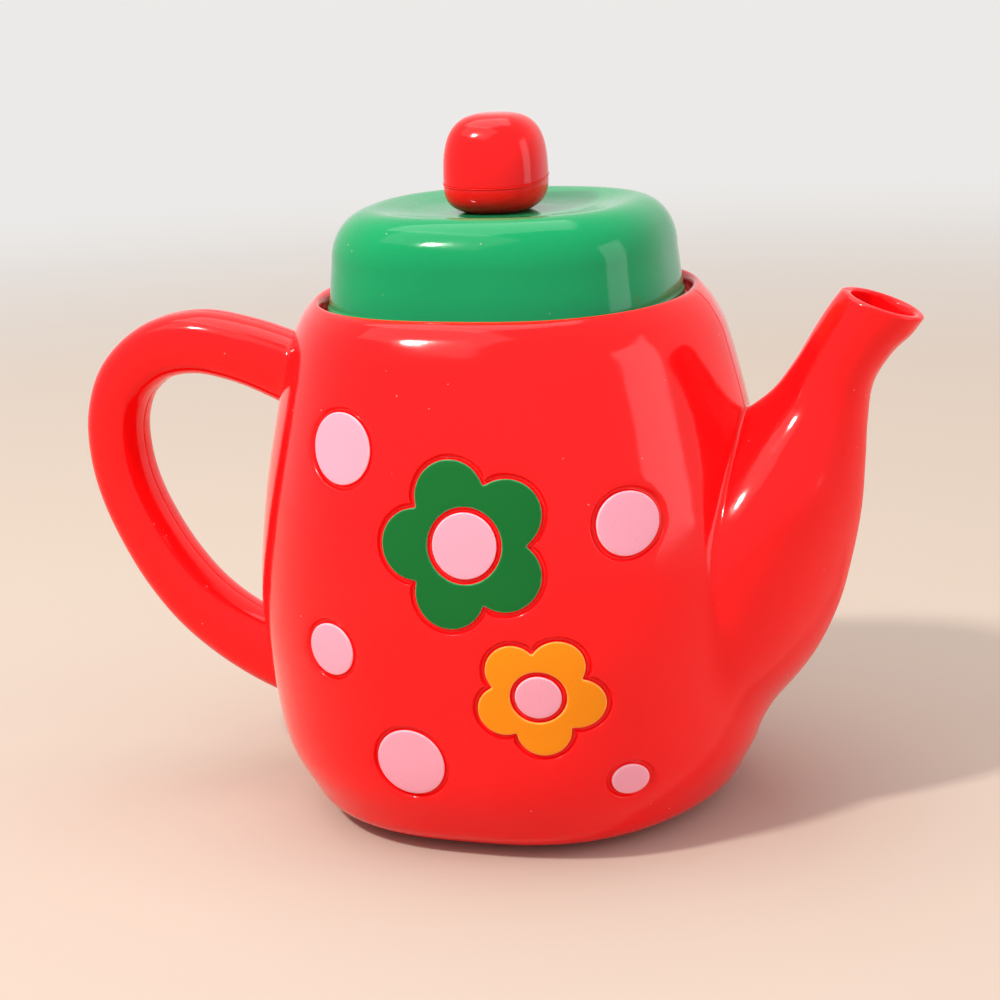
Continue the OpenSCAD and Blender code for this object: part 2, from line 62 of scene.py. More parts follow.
# The seam between the half shells: distance from the middle plane, and how deep the skin lies there
SEAM = [(0, 0.2), (0.07, 0.09), (0.17, 0.02), (0.36, 0)]
# Sections of the spout: upper edge, lower edge, depth, and the two powers of the outline
SPOUT = [(-1.19, 0.2, -0.26, 0.13, 0.8, 1.8, 1.3), (-1.15, 0.3, 0.03, 0.215, 0.93, 1.8, 1.3),
         (-1.1, 0.42, 0.268, 0.302, 0.98, 1.8, 1.3), (-0.98, 0.53, 0.43, 0.398, 0.95, 1.8, 1.3),
         (-0.8, 0.62, 0.523, 0.494, 0.88, 1.8, 1.3), (-0.53, 0.695, 0.585, 0.588, 0.73, 1.8, 1.35),
         (-0.26, 0.752, 0.61, 0.68, 0.53, 1.85, 1.45),
         (-0.01, 0.806, 0.625, 0.757, 0.385, 1.9, 1.6), (0.155, 0.866, 0.662, 0.824, 0.305, 2, 1.8),
         (0.292, 0.93, 0.78, 0.879, 0.283, 2, 1.9), (0.392, 0.973, 0.91, 0.916, 0.287, 2, 2),
         (0.468, 1, 0.99, 0.947, 0.293, 2, 2)]
# Middle line of the grip: how far out, how high, how thick
GRIP = [(-0.33, 0.885, 1.28), (-0.106, 0.934, 1.2), (0.145, 0.977, 1.15), (0.423, 1, 1.13),
        (0.688, 0.972, 1.08), (0.895, 0.888, 1.03), (0.99, 0.776, 1), (1, 0.655, 1),
        (0.952, 0.534, 1), (0.852, 0.413, 1.02), (0.715, 0.295, 1.06), (0.54, 0.188, 1.1),
        (0.334, 0.104, 1.15), (0.101, 0.04, 1.24), (-0.17, -0.01, 1.36)]
GRIP_POWER = 2.6
# How far the fillets' curves keep to the surfaces that they leave, as a share
FILLET_HOLD = 0.62
# Width of the fillets against the share of the way from a root's first lane to its last
SPOUT_FILLET = [(0, 1.3), (0.3, 1.5), (0.5, 2.6), (0.75, 5.5), (1, 6.5)]
GRIP_FILLET = [(0, 1.6), (0.5, 2), (1, 2.4)]
# Across the moulded groove, outwards from the edge of a coloured shape: distance and depth
GROOVE = [(0.02, 0.3), (0.12, 0.55), (0.28, 0.76), (0.5, 0.82), (0.72, 0.76), (0.88, 0.5),
          (0.98, 0.2), (1.07, 0.06), (1.22, 0)]
# Across the edge of a coloured shape, inwards from its edge: distance and depth
PAD_EDGE = [(0, 0.3), (0, 0.2), (0.06, 0.1), (0.17, 0.035), (0.36, 0)]
# Flowers: across and up as shares of the half width and height, and their turn in degrees
FLOWERS = [("green", 0.1, 0.626, 108.4), ("orange", 0.343, 0.351, 130.4)]
# Dots: across and up as shares of the half width and height, width and height as shares of the
# largest dot, and how far they lean
DOTS = [(-0.375, 0.782, 0.94, 0.97, 0), (0.632, 0.65, 0.7, 0.87, 14),
        (-0.429, 0.416, 0.73, 0.75, 0), (-0.147, 0.209, 1, 1, 0), (0.615, 0.169, 0.44, 0.48, 0)]
# Petals: how many, reach and radius of each one's circle as shares of the flower's half width, and
# how sharp the notches between them are
PETALS, PETAL_REACH, PETAL_ROUND, PETAL_BLEND = 5, 0.585, 0.415, 28
# Points round a flower and round a dot
FLOWER_POINTS, DOT_POINTS = 200, 72
# Well and ledge for the lid, in millimetres, and the power of the lid's rounded square plan
WELL_GAP, LEDGE_DROP, LEDGE_THICK, LID_POWER = 1.5, 3.4, 2.0, 2.5
# Over the rim: how far in from the outer skin, how far below the top, and how far the outline has
# gone over to that of the well
RIM_CREST = [(0.5, 1.1, 0), (1, 0.64, 0.04), (1.55, 0.27, 0.14), (2.1, 0.06, 0.32), (2.65, 0, 0.5),
             (3.2, 0.12, 0.7), (3.75, 0.45, 0.86), (4.2, 1.05, 0.97)]
# The dish in the lid falls away from the crest: shares of its run against shares of its depth
DISH = [(0, 0), (0.05, 0.015), (0.12, 0.08), (0.35, 0.36), (0.65, 0.76), (1, 1), (1.3, 1)]
# The seam of the knob leans down to the front by this share. Powers of its plan and its two domes
KNOB_LEAN, KNOB_POWER, KNOB_LOW_POWER, KNOB_HIGH_POWER = 0.1, 2.5, 3, 3.1
# One millimetre at the lip of the spout, as a share of the way between its last two sections
LIP_BACK = 0.25

# Lamps: place, width, height, watts, colour. They all point at the middle of the pot
LAMPS = [("window_left", (-0.53, -0.7, 1.05), 0.1, 0.1, 13.5, "#FFFAF4"),
         ("curtain_left", (-0.5, -0.45, 1.15), 1.1, 0.7, 3.0, "#FFFFFF"),
         ("window_right", (0.88, 0.06, 0.3), 0.4, 0.6, 1.7, "#F6F9FF"),
         ("sky_over", (-0.2, 0.25, 1.25), 1.0, 0.9, 6.0, "#FFFFFF")]
# Camera: degrees round towards the spout, up, and of roll, its distance and focal length, and how
# far aside and up from the middle of the pot it looks
CAMERA_TURN, CAMERA_LIFT, CAMERA_ROLL = 17.5, 14.8, -2.53
CAMERA_RANGE, CAMERA_LENS, CAMERA_SENSOR = 0.469, 81.4, 36.0
POT_MIDDLE, AIM_ASIDE, AIM_UP = Vector((0, 0, 0.060)), -0.0034, 0.0019


def curve(rows, x):
    """Smooth curve through rows of pairs."""
    xs, ys = np.array(rows, float).T
    here = np.arange(len(xs))
    ahead, behind = np.minimum(here + 1, len(xs) - 1), np.maximum(here - 1, 0)
    slope = (ys[ahead] - ys[behind]) / (xs[ahead] - xs[behind])
    i = np.clip(np.searchsorted(xs, x, side="right") - 1, 0, len(xs) - 2)
    h = xs[i + 1] - xs[i]
    t = (x - xs[i]) / h
    return ((2 * t**3 - 3 * t**2 + 1) * ys[i] + (t**3 - 2 * t**2 + t) * h * slope[i]
            + (3 * t**2 - 2 * t**3) * ys[i + 1] + (t**3 - t**2) * h * slope[i + 1])


def smooth_rows(rows, t):
    """Smooth path through rows of numbers, read at the positions t."""
    last = len(rows) - 1
    i = np.clip(np.floor(t).astype(int), 0, last - 1)
    u = (t - i)[..., None]
    a, b, c, d = (rows[np.clip(i + k, 0, last)] for k in (-1, 0, 1, 2))
    return (2 * b + (c - a) * u + (2 * a - 5 * b + 4 * c - d) * u**2
            + (3 * b - 3 * c + d - a) * u**3) / 2


class Wall:
    """One face of the pot's front wall: the outside, or the inside when drawn in by an inset."""

    def __init__(self, size, inset=0.0):
        self.width, self.depth = size.width / MM / 2, size.depth / MM / 2
        self.height = size.height / MM
        self.inset = inset

    def halves(self, z):
        share = np.asarray(z, float) / self.height
        low, high = np.maximum(share - 0.004, 0), np.minimum(share + 0.004, 1)
        rise = curve(PROFILE, high) - curve(PROFILE, low)
        lean = rise / (high - low) * self.width / self.height
        half = self.width * curve(PROFILE, np.clip(share, 0, 1))
        drawn_in = self.inset * np.sqrt(1 + lean**2)
        ratio = self.depth / self.width * (1 + DEPTH_GAIN * (share - BELLY_SHARE))
        return half - drawn_in, half * ratio - drawn_in

    def point(self, angle, z):
        """Point at an angle from the spout's side round the front to the handle's side."""
        a, b = self.halves(z)
        across = np.cos(angle)
        back = b * np.maximum(1 - np.abs(across)**FRONT_POWER, 0)**(1 / SIDE_POWER)
        return np.stack(np.broadcast_arrays(a * across, -back, z), -1)

    def angle_at_level(self, level, z):
        """Angle at which the wall is this far in front of the middle plane, on the spout's side."""
        b = self.halves(z)[1]
        return np.arccos((1 - (level / b)**SIDE_POWER)**(1 / FRONT_POWER))

    def excess(self, p):
        """Below zero inside the face, above zero outside."""
        a, b = self.halves(p[..., 2])
        return (np.abs(p[..., 1]) / b)**SIDE_POWER + (np.abs(p[..., 0]) / a)**FRONT_POWER - 1

    def normal(self, p):
        a, b = self.halves(p[..., 2])
        step = np.array([0, 0, 0.05])
        aside = FRONT_POWER * (np.abs(p[..., 0]) / a)**(FRONT_POWER - 1) / a * np.sign(p[..., 0])
        ahead = -SIDE_POWER * (np.abs(p[..., 1]) / b)**(SIDE_POWER - 1) / b
        n = np.stack([aside, ahead, (self.excess(p + step) - self.excess(p - step)) / 0.1], -1)
        return n / np.linalg.norm(n, axis=-1, keepdims=True)

    def drop(self, p):
        """Points moved level onto the face, along the line to the pot's axis."""
        a, b = self.halves(p[..., 2])
        scale = np.ones(p.shape[:-1])
        for _ in range(12):
            side = (scale * np.abs(p[..., 1]) / b)**SIDE_POWER
            front = (scale * np.abs(p[..., 0]) / a)**FRONT_POWER
            scale -= (side + front - 1) * scale / (SIDE_POWER * side + FRONT_POWER * front)
        return np.stack([p[..., 0] * scale, p[..., 1] * scale, p[..., 2]], -1)

    def plan(self, p):
        """Place on the unrolled wall, in millimetres: round the wall, and up."""
        a = self.halves(p[..., 2])[0]
        return np.stack([UNROLL * np.arccos(np.clip(p[..., 0] / a, -1, 1)), p[..., 2]], -1)

    def face(self, x, z, depth):
        """Points on the front at a place seen from the front, sunk along the wall's normal."""
        a, b = self.halves(z)
        back = b * np.maximum(1 - (np.abs(x) / a)**FRONT_POWER, 0)**(1 / SIDE_POWER)
        p = np.stack(np.broadcast_arrays(x, -back, z), -1)
        return p - self.normal(p) * np.asarray(depth, float)[..., None]


class Skin:
    """Points and faces of one mesh."""

    def __init__(self):
        self.points, self.faces, self.count, self.seamed = [], [], 0, set()

    def add(self, points, seamed=False):
        """Add points; those of a seamed face are drawn in later, close to the middle plane."""
        points = np.asarray(points, float).reshape(-1, 3)
        self.points.append(points)
        new = np.arange(self.count, self.count + len(points))
        self.count += len(points)
        if seamed:
            self.seamed.update(new[np.abs(points[:, 1]) < SEAM[-1][0]].tolist())
        return new

    def strip(self, one, other, closed=False):
        """Quads between two rows of the same length."""
        for j in range(len(one) - (0 if closed else 1)):
            k = (j + 1) % len(one)
            self.faces.append((one[j], one[k], other[k], other[j]))

    def rows(self, rows, closed=False):
        for one, other in zip(rows, rows[1:]):
            self.strip(one, other, closed)

    def fan(self, row, centre, closed=False):
        for j in range(len(row) - (0 if closed else 1)):
            self.faces.append((row[j], row[(j + 1) % len(row)], centre))

    def all_points(self):
        return np.concatenate(self.points)


def crossings_odd(points, starts, ends):
    """Which points lie inside the outlines, by an odd number of crossings."""
    odd = np.zeros(len(points), bool)
    for (x1, y1), (x2, y2) in zip(starts, ends):
        if y1 != y2:
            spans = (y1 > points[:, 1]) != (y2 > points[:, 1])
            odd ^= spans & (points[:, 0] < (x2 - x1) * (points[:, 1] - y1) / (y2 - y1) + x1)
    return odd


def triangles(points, edges):
    """Triangles between points in a plane, kept where the edges enclose them."""
    found = geometry.delaunay_2d_cdt([Vector(p) for p in points],
                                     [tuple(map(int, e)) for e in edges], [], 0, 1e-7)
    if len(found[0]) != len(points):
        raise RuntimeError(f"The outlines cross: {len(points)} points became {len(found[0])}")
    back = [ids[0] for ids in found[3]]
    tris = np.array([[back[k] for k in face] for face in found[2]])
    starts, ends = points[[e[0] for e in edges]], points[[e[1] for e in edges]]
    return tris[crossings_odd(points[tris].mean(1), starts, ends)]


def fill_wall(skin, wall, border, holes, heights, columns, spacing, seamed):
    """Cover the unrolled wall between its border and its holes with even points."""
    loops, points = [border] + holes, skin.all_points()
    flat = []
    for loop in loops:
        on_wall = wall.plan(points[loop])
        middle = np.abs(points[loop][:, 1]) < 1e-9
        on_wall[middle, 0] = np.where(points[loop][middle, 0] > 0, 0, HALF_TURN)
        flat.append(on_wall)
    inner_heights = heights[1:-1]
    angle = np.concatenate([columns(h)[1:-1] for h in inner_heights])
    z = np.repeat(inner_heights, len(angle) // len(inner_heights))
    free = np.stack([UNROLL * angle, z], -1)
    starts = np.concatenate(flat)
    ends = np.concatenate([np.roll(f, -1, 0) for f in flat])
    straight = ((starts[:, 0] < 1e-6) | (starts[:, 0] > HALF_TURN - 1e-6)
                | (starts[:, 1] < heights[0] + 1e-6) | (starts[:, 1] > heights[-1] - 1e-6))
    near = starts[~straight]
    keep = crossings_odd(free, starts, ends)
    for i in np.flatnonzero(keep):
        keep[i] = ((near - free[i])**2).sum(1).min() > spacing**2
    extra = skin.add(wall.point(angle[keep], z[keep]), seamed)
    ids = np.concatenate(loops + [extra])
    edges, start = [], 0
    for loop in loops:
        edges += [(start + i, start + (i + 1) % len(loop)) for i in range(len(loop))]
        start += len(loop)
    for tri in triangles(np.concatenate([starts, free[keep]]), edges):
        skin.faces.append(tuple(ids[tri]))


class Limb:
    """A spout or a handle: lanes that run along it, on a section that changes on the way."""

    def __init__(self, rows, turns):
        self.table = np.array(rows, float)
        self.last = len(rows) - 1
        levels = np.array([row[0] for row in SEAM])
        self.levels = np.concatenate([levels, np.full(len(turns), np.nan), levels[::-1]])
        self.across = np.concatenate([np.ones(len(levels)), turns, -np.ones(len(levels))])
        self.lanes = len(self.levels)

    def ring(self, centre, out, depth, p, q, inset):
        """Points of the section's lanes; out is the half section in the middle plane."""
        length = np.linalg.norm(out, axis=-1)
        out = out * (1 - inset / length)[..., None]
        depth = depth - inset
        on_level = ~np.isnan(self.levels)
        level = np.where(on_level, self.levels, 0)
        at_level = np.sign(self.across) * np.maximum(1 - (level / depth)**q, 0)**(1 / p)
        c = np.where(on_level, at_level, self.across)
        rounded = np.maximum(1 - self.soft(np.abs(c), p), 0)**(1 / q)
        side = np.where(on_level, level / depth, rounded)
        x = centre[..., 0] + out[..., 0] * c
        z = centre[..., 1] + out[..., 1] * c
        return np.stack([x, -depth * side, z], -1)

    def paths(self, t, inset=0.0):
        """Points of all lanes at the positions t, one column for each lane."""
        t = np.broadcast_to(np.asarray(t, float), np.broadcast_shapes(np.shape(t), (self.lanes,)))
        return self.ring(*self.section(t), np.asarray(inset, float))

    def crossing(self, wall, first, last):
        """Where each lane crosses a face of the wall for the last time on its way out."""
        t = np.linspace(first, last, 500)[:, None] * np.ones(self.lanes)
        inside = wall.excess(self.paths(t, wall.inset)) < 0
        index = len(t) - 1 - np.argmax(inside[::-1], 0)
        if not inside.any(0).all() or (index == len(t) - 1).any():
            raise RuntimeError("A lane does not cross the wall")
        lanes = np.arange(self.lanes)
        low, high = t[index, lanes], t[index + 1, lanes]
        for _ in range(40):
            middle = (low + high) / 2
            within = wall.excess(self.paths(middle, wall.inset)) < 0
            low, high = np.where(within, middle, low), np.where(within, high, middle)
        return (low + high) / 2

    def root(self, skin, wall, first, last, widths):
        """Fillet between the wall and the lanes: rows of points, and where the lanes go on."""
        t = self.crossing(wall, first, last)
        crease = self.paths(t)
        mirrored = crease * (1, -1, 1)
        padded = np.concatenate([mirrored[1:2], crease, mirrored[-2:-1]])
        along = padded[2:] - padded[:-2]
        away = np.cross(wall.normal(crease), along)
        away /= np.linalg.norm(away, axis=1, keepdims=True)
        centre = crease.mean(0) * (1, 0, 1)
        away *= np.sign(((crease - centre) * away).sum(1))[:, None]
        reach = np.interp(np.linspace(0, 1, self.lanes), *np.array(widths).T)
        foot = wall.drop(crease + away * reach[:, None])
        foot[[0, -1], 1] = 0
        steps = np.linspace(0, 1, 60)[:, None]
        way = t + (last - t) * steps * 0.8
        path = self.paths(way)
        run = np.concatenate([np.zeros((1, self.lanes)),
                              np.linalg.norm(np.diff(path, axis=0), axis=2).cumsum(0)])
        leave = np.array([np.interp(reach[j], run[:, j], way[:, j]) for j in range(self.lanes)])
        start = self.paths(leave)
        rows = []
        for u in np.linspace(0, 1, 9):
            one = foot + FILLET_HOLD * (crease - foot)
            other = start + FILLET_HOLD * (crease - start)
            rows.append(skin.add((1 - u)**3 * foot + 3 * u * (1 - u)**2 * one
                                 + 3 * u**2 * (1 - u) * other + u**3 * start, seamed=True))
        skin.rows(rows)
        return rows, leave


class Spout(Limb):
    def __init__(self, pot, size):
        half, out = pot.width / MM / 2, size.reach / MM
        high, deep = size.height / MM, size.depth / MM / 2
        rows = [(half + out * a, high * b, half + out * c, high * d, deep * e, p, q)
                for a, b, c, d, e, p, q in SPOUT]
        super().__init__(rows, np.cos(np.radians(np.linspace(7, 173, 58))))

    @staticmethod
    def soft(c, p):
        """Rounded over where the section is widest, so that no ridge shows there."""
        e = 0.08
        return ((c**2 + e**2)**(p / 2) - e**p) / ((1 + e**2)**(p / 2) - e**p)

    def section(self, t):
        row = smooth_rows(self.table, t)
        upper, lower = row[..., 0:2], row[..., 2:4]
        return (upper + lower) / 2, (upper - lower) / 2, row[..., 4], row[..., 5], row[..., 6]


class Grip(Limb):
    def __init__(self, pot, size):
        half, out, low, high = pot.width / MM / 2, size.reach / MM, size.low / MM, size.high / MM
        rows = [(-(half + out * a), low + (high - low) * b, size.thickness / MM / 2 * c)
                for a, b, c in GRIP]
        turn = np.radians(np.linspace(6, 174, 29))
        super().__init__(rows, np.sign(np.cos(turn)) * np.abs(np.cos(turn))**(2 / GRIP_POWER))
        self.depth = size.depth / MM / 2

    @staticmethod
    def soft(c, p):
        return c**p

    def section(self, t):
        row = smooth_rows(self.table, t)
        ahead = smooth_rows(self.table, np.clip(t + 0.5, 0, self.last))
        behind = smooth_rows(self.table, np.clip(t - 0.5, 0, self.last))
        way = (ahead - behind)[..., :2]
        way = way / np.linalg.norm(way, axis=-1, keepdims=True)
        out = np.stack([way[..., 1], -way[..., 0]], -1) * row[..., 2:3]
        power = np.full(t.shape, GRIP_POWER)
        return row[..., :2], out, np.full(t.shape, self.depth), power, power


def flower_offsets(half, turn, outset):
    """Outline of a flower of round petals, moved outwards."""
    angle = np.linspace(0, 2 * np.pi, FLOWER_POINTS, endpoint=False)
    gap = 2 * np.pi / PETALS

    def radius(a):
        def petal(off):
            d, q = half * PETAL_REACH, half * PETAL_ROUND
            s = d * np.sin(off)
            reach = d * np.cos(off) + np.sqrt(np.maximum(q * q - s * s, 0))
            return np.where((np.abs(s) < q) & (np.cos(off) > 0), reach, 0)
        a = a % gap
        return (petal(a)**PETAL_BLEND + petal(gap - a)**PETAL_BLEND)**(1 / PETAL_BLEND)
    r = radius(angle)
    slope = (radius(angle + 0.02) - radius(angle - 0.02)) / 0.04 / r
    r = r + outset * np.minimum(np.sqrt(1 + slope**2), 1.5)
    return np.stack([r * np.cos(angle + turn), r * np.sin(angle + turn)], -1)


def oval_offsets(half_w, half_h, lean, count, outset):
    """Outline of an oval, moved outwards."""
    angle = np.linspace(0, 2 * np.pi, count, endpoint=False)
    x, z = (half_w + outset) * np.cos(angle), (half_h + outset) * np.sin(angle)
    return np.stack([x * np.cos(lean) - z * np.sin(lean), x * np.sin(lean) + z * np.cos(lean)], -1)


def decoration(pot, size):
    """Each moulded outline: name, place, turn, half width of its middle disc, and its outline."""
    half, high, dot = pot.width / MM / 2, pot.height / MM, size.dot / MM / 2
    shapes = []
    for name, across, up, turn in FLOWERS:
        wide, middle = (getattr(size, key) / MM / 2 for key in (name, name + "_middle"))
        shapes.append((name, half * across, high * up, radians(turn), middle,
                       lambda outset, w=wide, t=radians(turn): flower_offsets(w, t, outset)))
    for i, (across, up, w, h, lean) in enumerate(DOTS):
        shapes.append((f"dot_{i + 1}", half * across, high * up, 0, None,
                       lambda outset, w=dot * w, h=dot * h, t=radians(lean):
                       oval_offsets(w, h, t, DOT_POINTS, outset)))
    return shapes


def half_shell(props):
    """The front half shell, open in the middle plane, with its fillets, grooves and hollows."""
    pot, lid = props.pot, props.lid
    outside, inside = Wall(pot), Wall(pot, pot.wall / MM)
    skin, top, wall = Skin(), pot.height / MM, pot.wall / MM

    # Columns round the wall: a few close to the seam at both ends, the rest evenly spaced
    fine = np.linspace(0, np.pi, 2000)
    belly = outside.point(fine, np.full(fine.size, top * BELLY_SHARE))
    run = np.concatenate([[0], np.linalg.norm(np.diff(belly, axis=0), axis=1).cumsum()])
    even = np.interp(np.linspace(1.1, run[-1] - 1.1, 124), run, fine)
    levels = np.array([row[0] for row in SEAM])[1:]

    def columns(z):
        close = outside.angle_at_level(levels, z)
        return np.concatenate([[0], close, even, np.pi - close[::-1], [np.pi]])

    def ring(face, z, spread=1.0):
        p = face.point(columns(z), z) * (spread, spread, 1)
        p[[0, -1], 1] = 0
        return skin.add(p, seamed=face is outside)

    # Foot, from the middle of the base up to where the openings start
    foot_top, rim_foot = 7.5, 6.6
    foot = [ring(outside, 0.0, s) for s in (0.25, 0.5, 0.75, 0.92)]
    skin.fan(foot[0], skin.add([(0, 0, 0)], seamed=True)[0])
    foot += [ring(outside, z) for z in (0, 0.12, 0.4, 0.9, 1.6, 2.5, 3.6, 4.8, 6.1, foot_top)]
    skin.rows(foot)

    # The spout and the handle leave the wall through fillets
    spout, grip = Spout(pot, props.spout), Grip(pot, props.handle)
    spout_root, spout_leave = spout.root(skin, outside, 0, spout.last, SPOUT_FILLET)
    half_way = grip.last / 2
    upper_root, upper_leave = grip.root(skin, outside, 0, half_way, GRIP_FILLET)
    lower_root, lower_leave = grip.root(skin, outside, grip.last, half_way, GRIP_FILLET)
    share = np.linspace(0, 1, 112)[1:-1, None]
    way = upper_leave + (lower_leave - upper_leave) * share
    grip_rows = [skin.add(p, seamed=True) for p in grip.paths(way)]
    skin.rows([upper_root[-1]] + grip_rows + [lower_root[-1]])

    # Neck of the spout, its rounded lip, and the bore down to the hollow
    lip, lip_back = wall / 2, LIP_BACK * wall / 2
    end = spout.last - lip_back
    share = np.linspace(0, 1, 80)[1:, None]
    way = spout_leave + (end - spout_leave) * share
    neck = [skin.add(p, seamed=True) for p in spout.paths(way)]
    for a in np.linspace(0, np.pi, 9)[1:]:
        over = spout.paths(spout.last - lip_back * (1 - sin(a)), lip * (1 - cos(a)))
        neck.append(skin.add(over, seamed=a < 1.6))
    mouth = spout.crossing(inside, 0, spout.last)
    share = np.linspace(0, 1, 40)[1:, None]
    bore = [skin.add(p) for p in spout.paths(end + (mouth - end) * share, wall)]
    skin.rows([spout_root[-1]] + neck + bore)

    # Rim, from the outer skin over the crest, down the well and past the ledge
    rim = [ring(outside, top - drop) for drop in (rim_foot, 5.4, 4.2, 3.1, 2.3, 1.7)]
    outline = skin.all_points()[rim[-1]]
    polar = np.arctan2(-outline[:, 1], outline[:, 0])
    polar[[0, -1]] = 0, np.pi
    well_x, well_y = lid.width / MM / 2 + WELL_GAP, lid.depth / MM / 2 + WELL_GAP
    mouth_x, mouth_y = (half / MM / 2 - lid.overlap / MM for half in (lid.width, lid.depth))

    def rounded(a, b):
        bent = np.abs(np.cos(polar) / a)**LID_POWER + np.abs(np.sin(polar) / b)**LID_POWER
        r = bent**(-1 / LID_POWER)
        return np.stack([r * np.cos(polar), -r * np.sin(polar)], -1)

    def level(flat, z, seamed=False):
        flat[[0, -1], 1] = 0
        return skin.add(np.column_stack([flat, np.full(len(flat), z)]), seamed)

    for shift, drop, blend in RIM_CREST:
        size = outline[0, 0] - shift
        crest = rounded(size, size - well_x + well_y)
        flat = (1 - blend) * outline[:, :2] * size / outline[0, 0] + blend * crest
        rim.append(level(flat, top - drop, seamed=True))
    ledge = top - LEDGE_DROP
    under = ledge - LEDGE_THICK
    rim += [level(rounded(well_x - a, well_y - a), z) for a, z in
            ((0, top - 1.9), (0, ledge + 0.25), (0.07, ledge + 0.07), (0.25, ledge))]
    rim += [level(rounded(mouth_x + a, mouth_y + a), z) for a, z in
            ((0.5, ledge), (0.14, ledge - 0.14), (0, ledge - 0.5), (0, under + 0.4), (0.3, under))]

    # Inside of the wall, and the floor of the hollow
    inner_low, inner_high = 12.0, top - 11
    rim += [ring(inside, z) for z in (under, under - 1.5, under - 3.5, inner_high)]
    skin.rows(rim)
    floor = [ring(inside, z) for z in (inner_low, 9.5, 7.3, 5.4, 4, 3, 2.4)]
    floor += [ring(inside, wall, s) for s in (0.97, 0.75, 0.5, 0.25)]
    skin.rows(floor)
    skin.fan(floor[-1], skin.add([(0, 0, wall)])[0])

    # Grooves and sunk beds of the decoration
    holes = []
    for _, x, z, turn, middle, outline_at in decoration(pot, props.decoration):
        def sunk(offsets, depth):
            deep = np.full(len(offsets), depth)
            return skin.add(outside.face(x + offsets[:, 0], z + offsets[:, 1], deep))
        rings = [sunk(outline_at(outset), depth) for outset, depth in GROOVE[::-1]]
        holes.append(rings[0])
        bed = GROOVE[0][1]
        if middle is None:
            rings += [sunk(outline_at(0) * s, bed) for s in (0.75, 0.5, 0.25)]
        else:
            disc = lambda r: oval_offsets(r, r, turn, len(rings[0]), 0)
            rings += [sunk(outline_at(0) * (1 - s) + disc(middle + 1) * s, bed)
                      for s in (0.33, 0.67, 1)]
            rings += [sunk(disc(middle + 1 - outset), depth) for outset, depth in GROOVE[1:6]]
            rings.append(sunk(disc(middle + 0.1), 0.55))
            rings += [sunk(disc(middle * s), bed) for s in (1, 0.7, 0.4)]
        skin.rows(rings, closed=True)
        centre = outside.face(np.array([x]), np.array([z]), np.array([bed]))
        skin.fan(rings[-1], skin.add(centre)[0], closed=True)

    # Even triangles over the rest of the outer wall and of the inner wall
    def cover(face, bottom, crown, left_roots, right_roots, step, spacing, seamed):
        points = skin.all_points()

        def side(angle, start, stop):
            count = max(int(round(abs(stop - start) / step)), 1)
            z = np.linspace(start, stop, count + 1)[1:-1]
            p = face.point(np.full(len(z), angle), z)
            p[:, 1] = 0
            return skin.add(p, seamed)
        border, at = [bottom], points[bottom[-1], 2]
        for root in left_roots:
            border += [side(np.pi, at, points[root[0], 2]), root]
            at = points[root[-1], 2]
        border += [side(np.pi, at, points[crown[-1], 2]), crown[::-1]]
        at = points[crown[0], 2]
        for root in right_roots:
            border += [side(0.0, at, points[root[0], 2]), root]
            at = points[root[-1], 2]
        border.append(side(0.0, at, points[bottom[0], 2]))
        first, last = points[bottom[0], 2], points[crown[0], 2]
        heights = np.linspace(first, last, int((last - first) / step) + 1)
        fill_wall(skin, face, np.concatenate(border), holes if seamed else [], heights, columns,
                  spacing, seamed)

    cover(outside, foot[-1], rim[0], [lower_root[0], upper_root[0][::-1]], [spout_root[0]], 1.45,
          0.75, True)
    cover(inside, floor[0], rim[-1], [], [bore[-1]], 2.6, 1.2, False)

    # Hollow of the grip, closed at both ends
    t = np.linspace(upper_leave.max() + 0.35, lower_leave.min() - 0.35, 60)
    hollow = [skin.add(p) for p in grip.paths(t[:, None] * np.ones(grip.lanes), wall)]
    skin.rows(hollow)
    skin.faces += [tuple(hollow[0]), tuple(hollow[-1])]
    return skin


def band(bm, one, other):
    """Quads all round between two closed rows of points."""
    for j in range(len(one)):
        k = (j + 1) % len(one)
        bm.faces.new((one[j], one[k], other[k], other[j]))


def finish_mesh(bm, mesh, crease):
    """Write the finished mesh, smooth but for creases sharper than an angle in degrees."""
    bm.to_mesh(mesh)
    bm.free()
    mesh.shade_smooth()
    mesh.set_sharp_from_angle(angle=radians(crease))
    return mesh


def add_tab(bm, across, wall):
    """Locating tab on the floor, from its own half shell over to the other one."""
    low, high = wall + 0.05, wall + 1.45
    sections = [(4.0, -4.0, wall - 0.3, high), (4.0, 0.0, low, high), (3.7, 3.2, low, high - 0.2),
                (3.0, 5.0, low, wall + 0.85)]
    rings = [[bm.verts.new((across + sx * half, y, z))
              for sx, z in ((-1, bottom), (1, bottom), (1, top), (-1, top))]
             for half, y, bottom, top in sections]
    for one, other in zip(rings, rings[1:]):
        band(bm, one, other)
    bm.faces.new(rings[0])
    bm.faces.new(rings[-1])


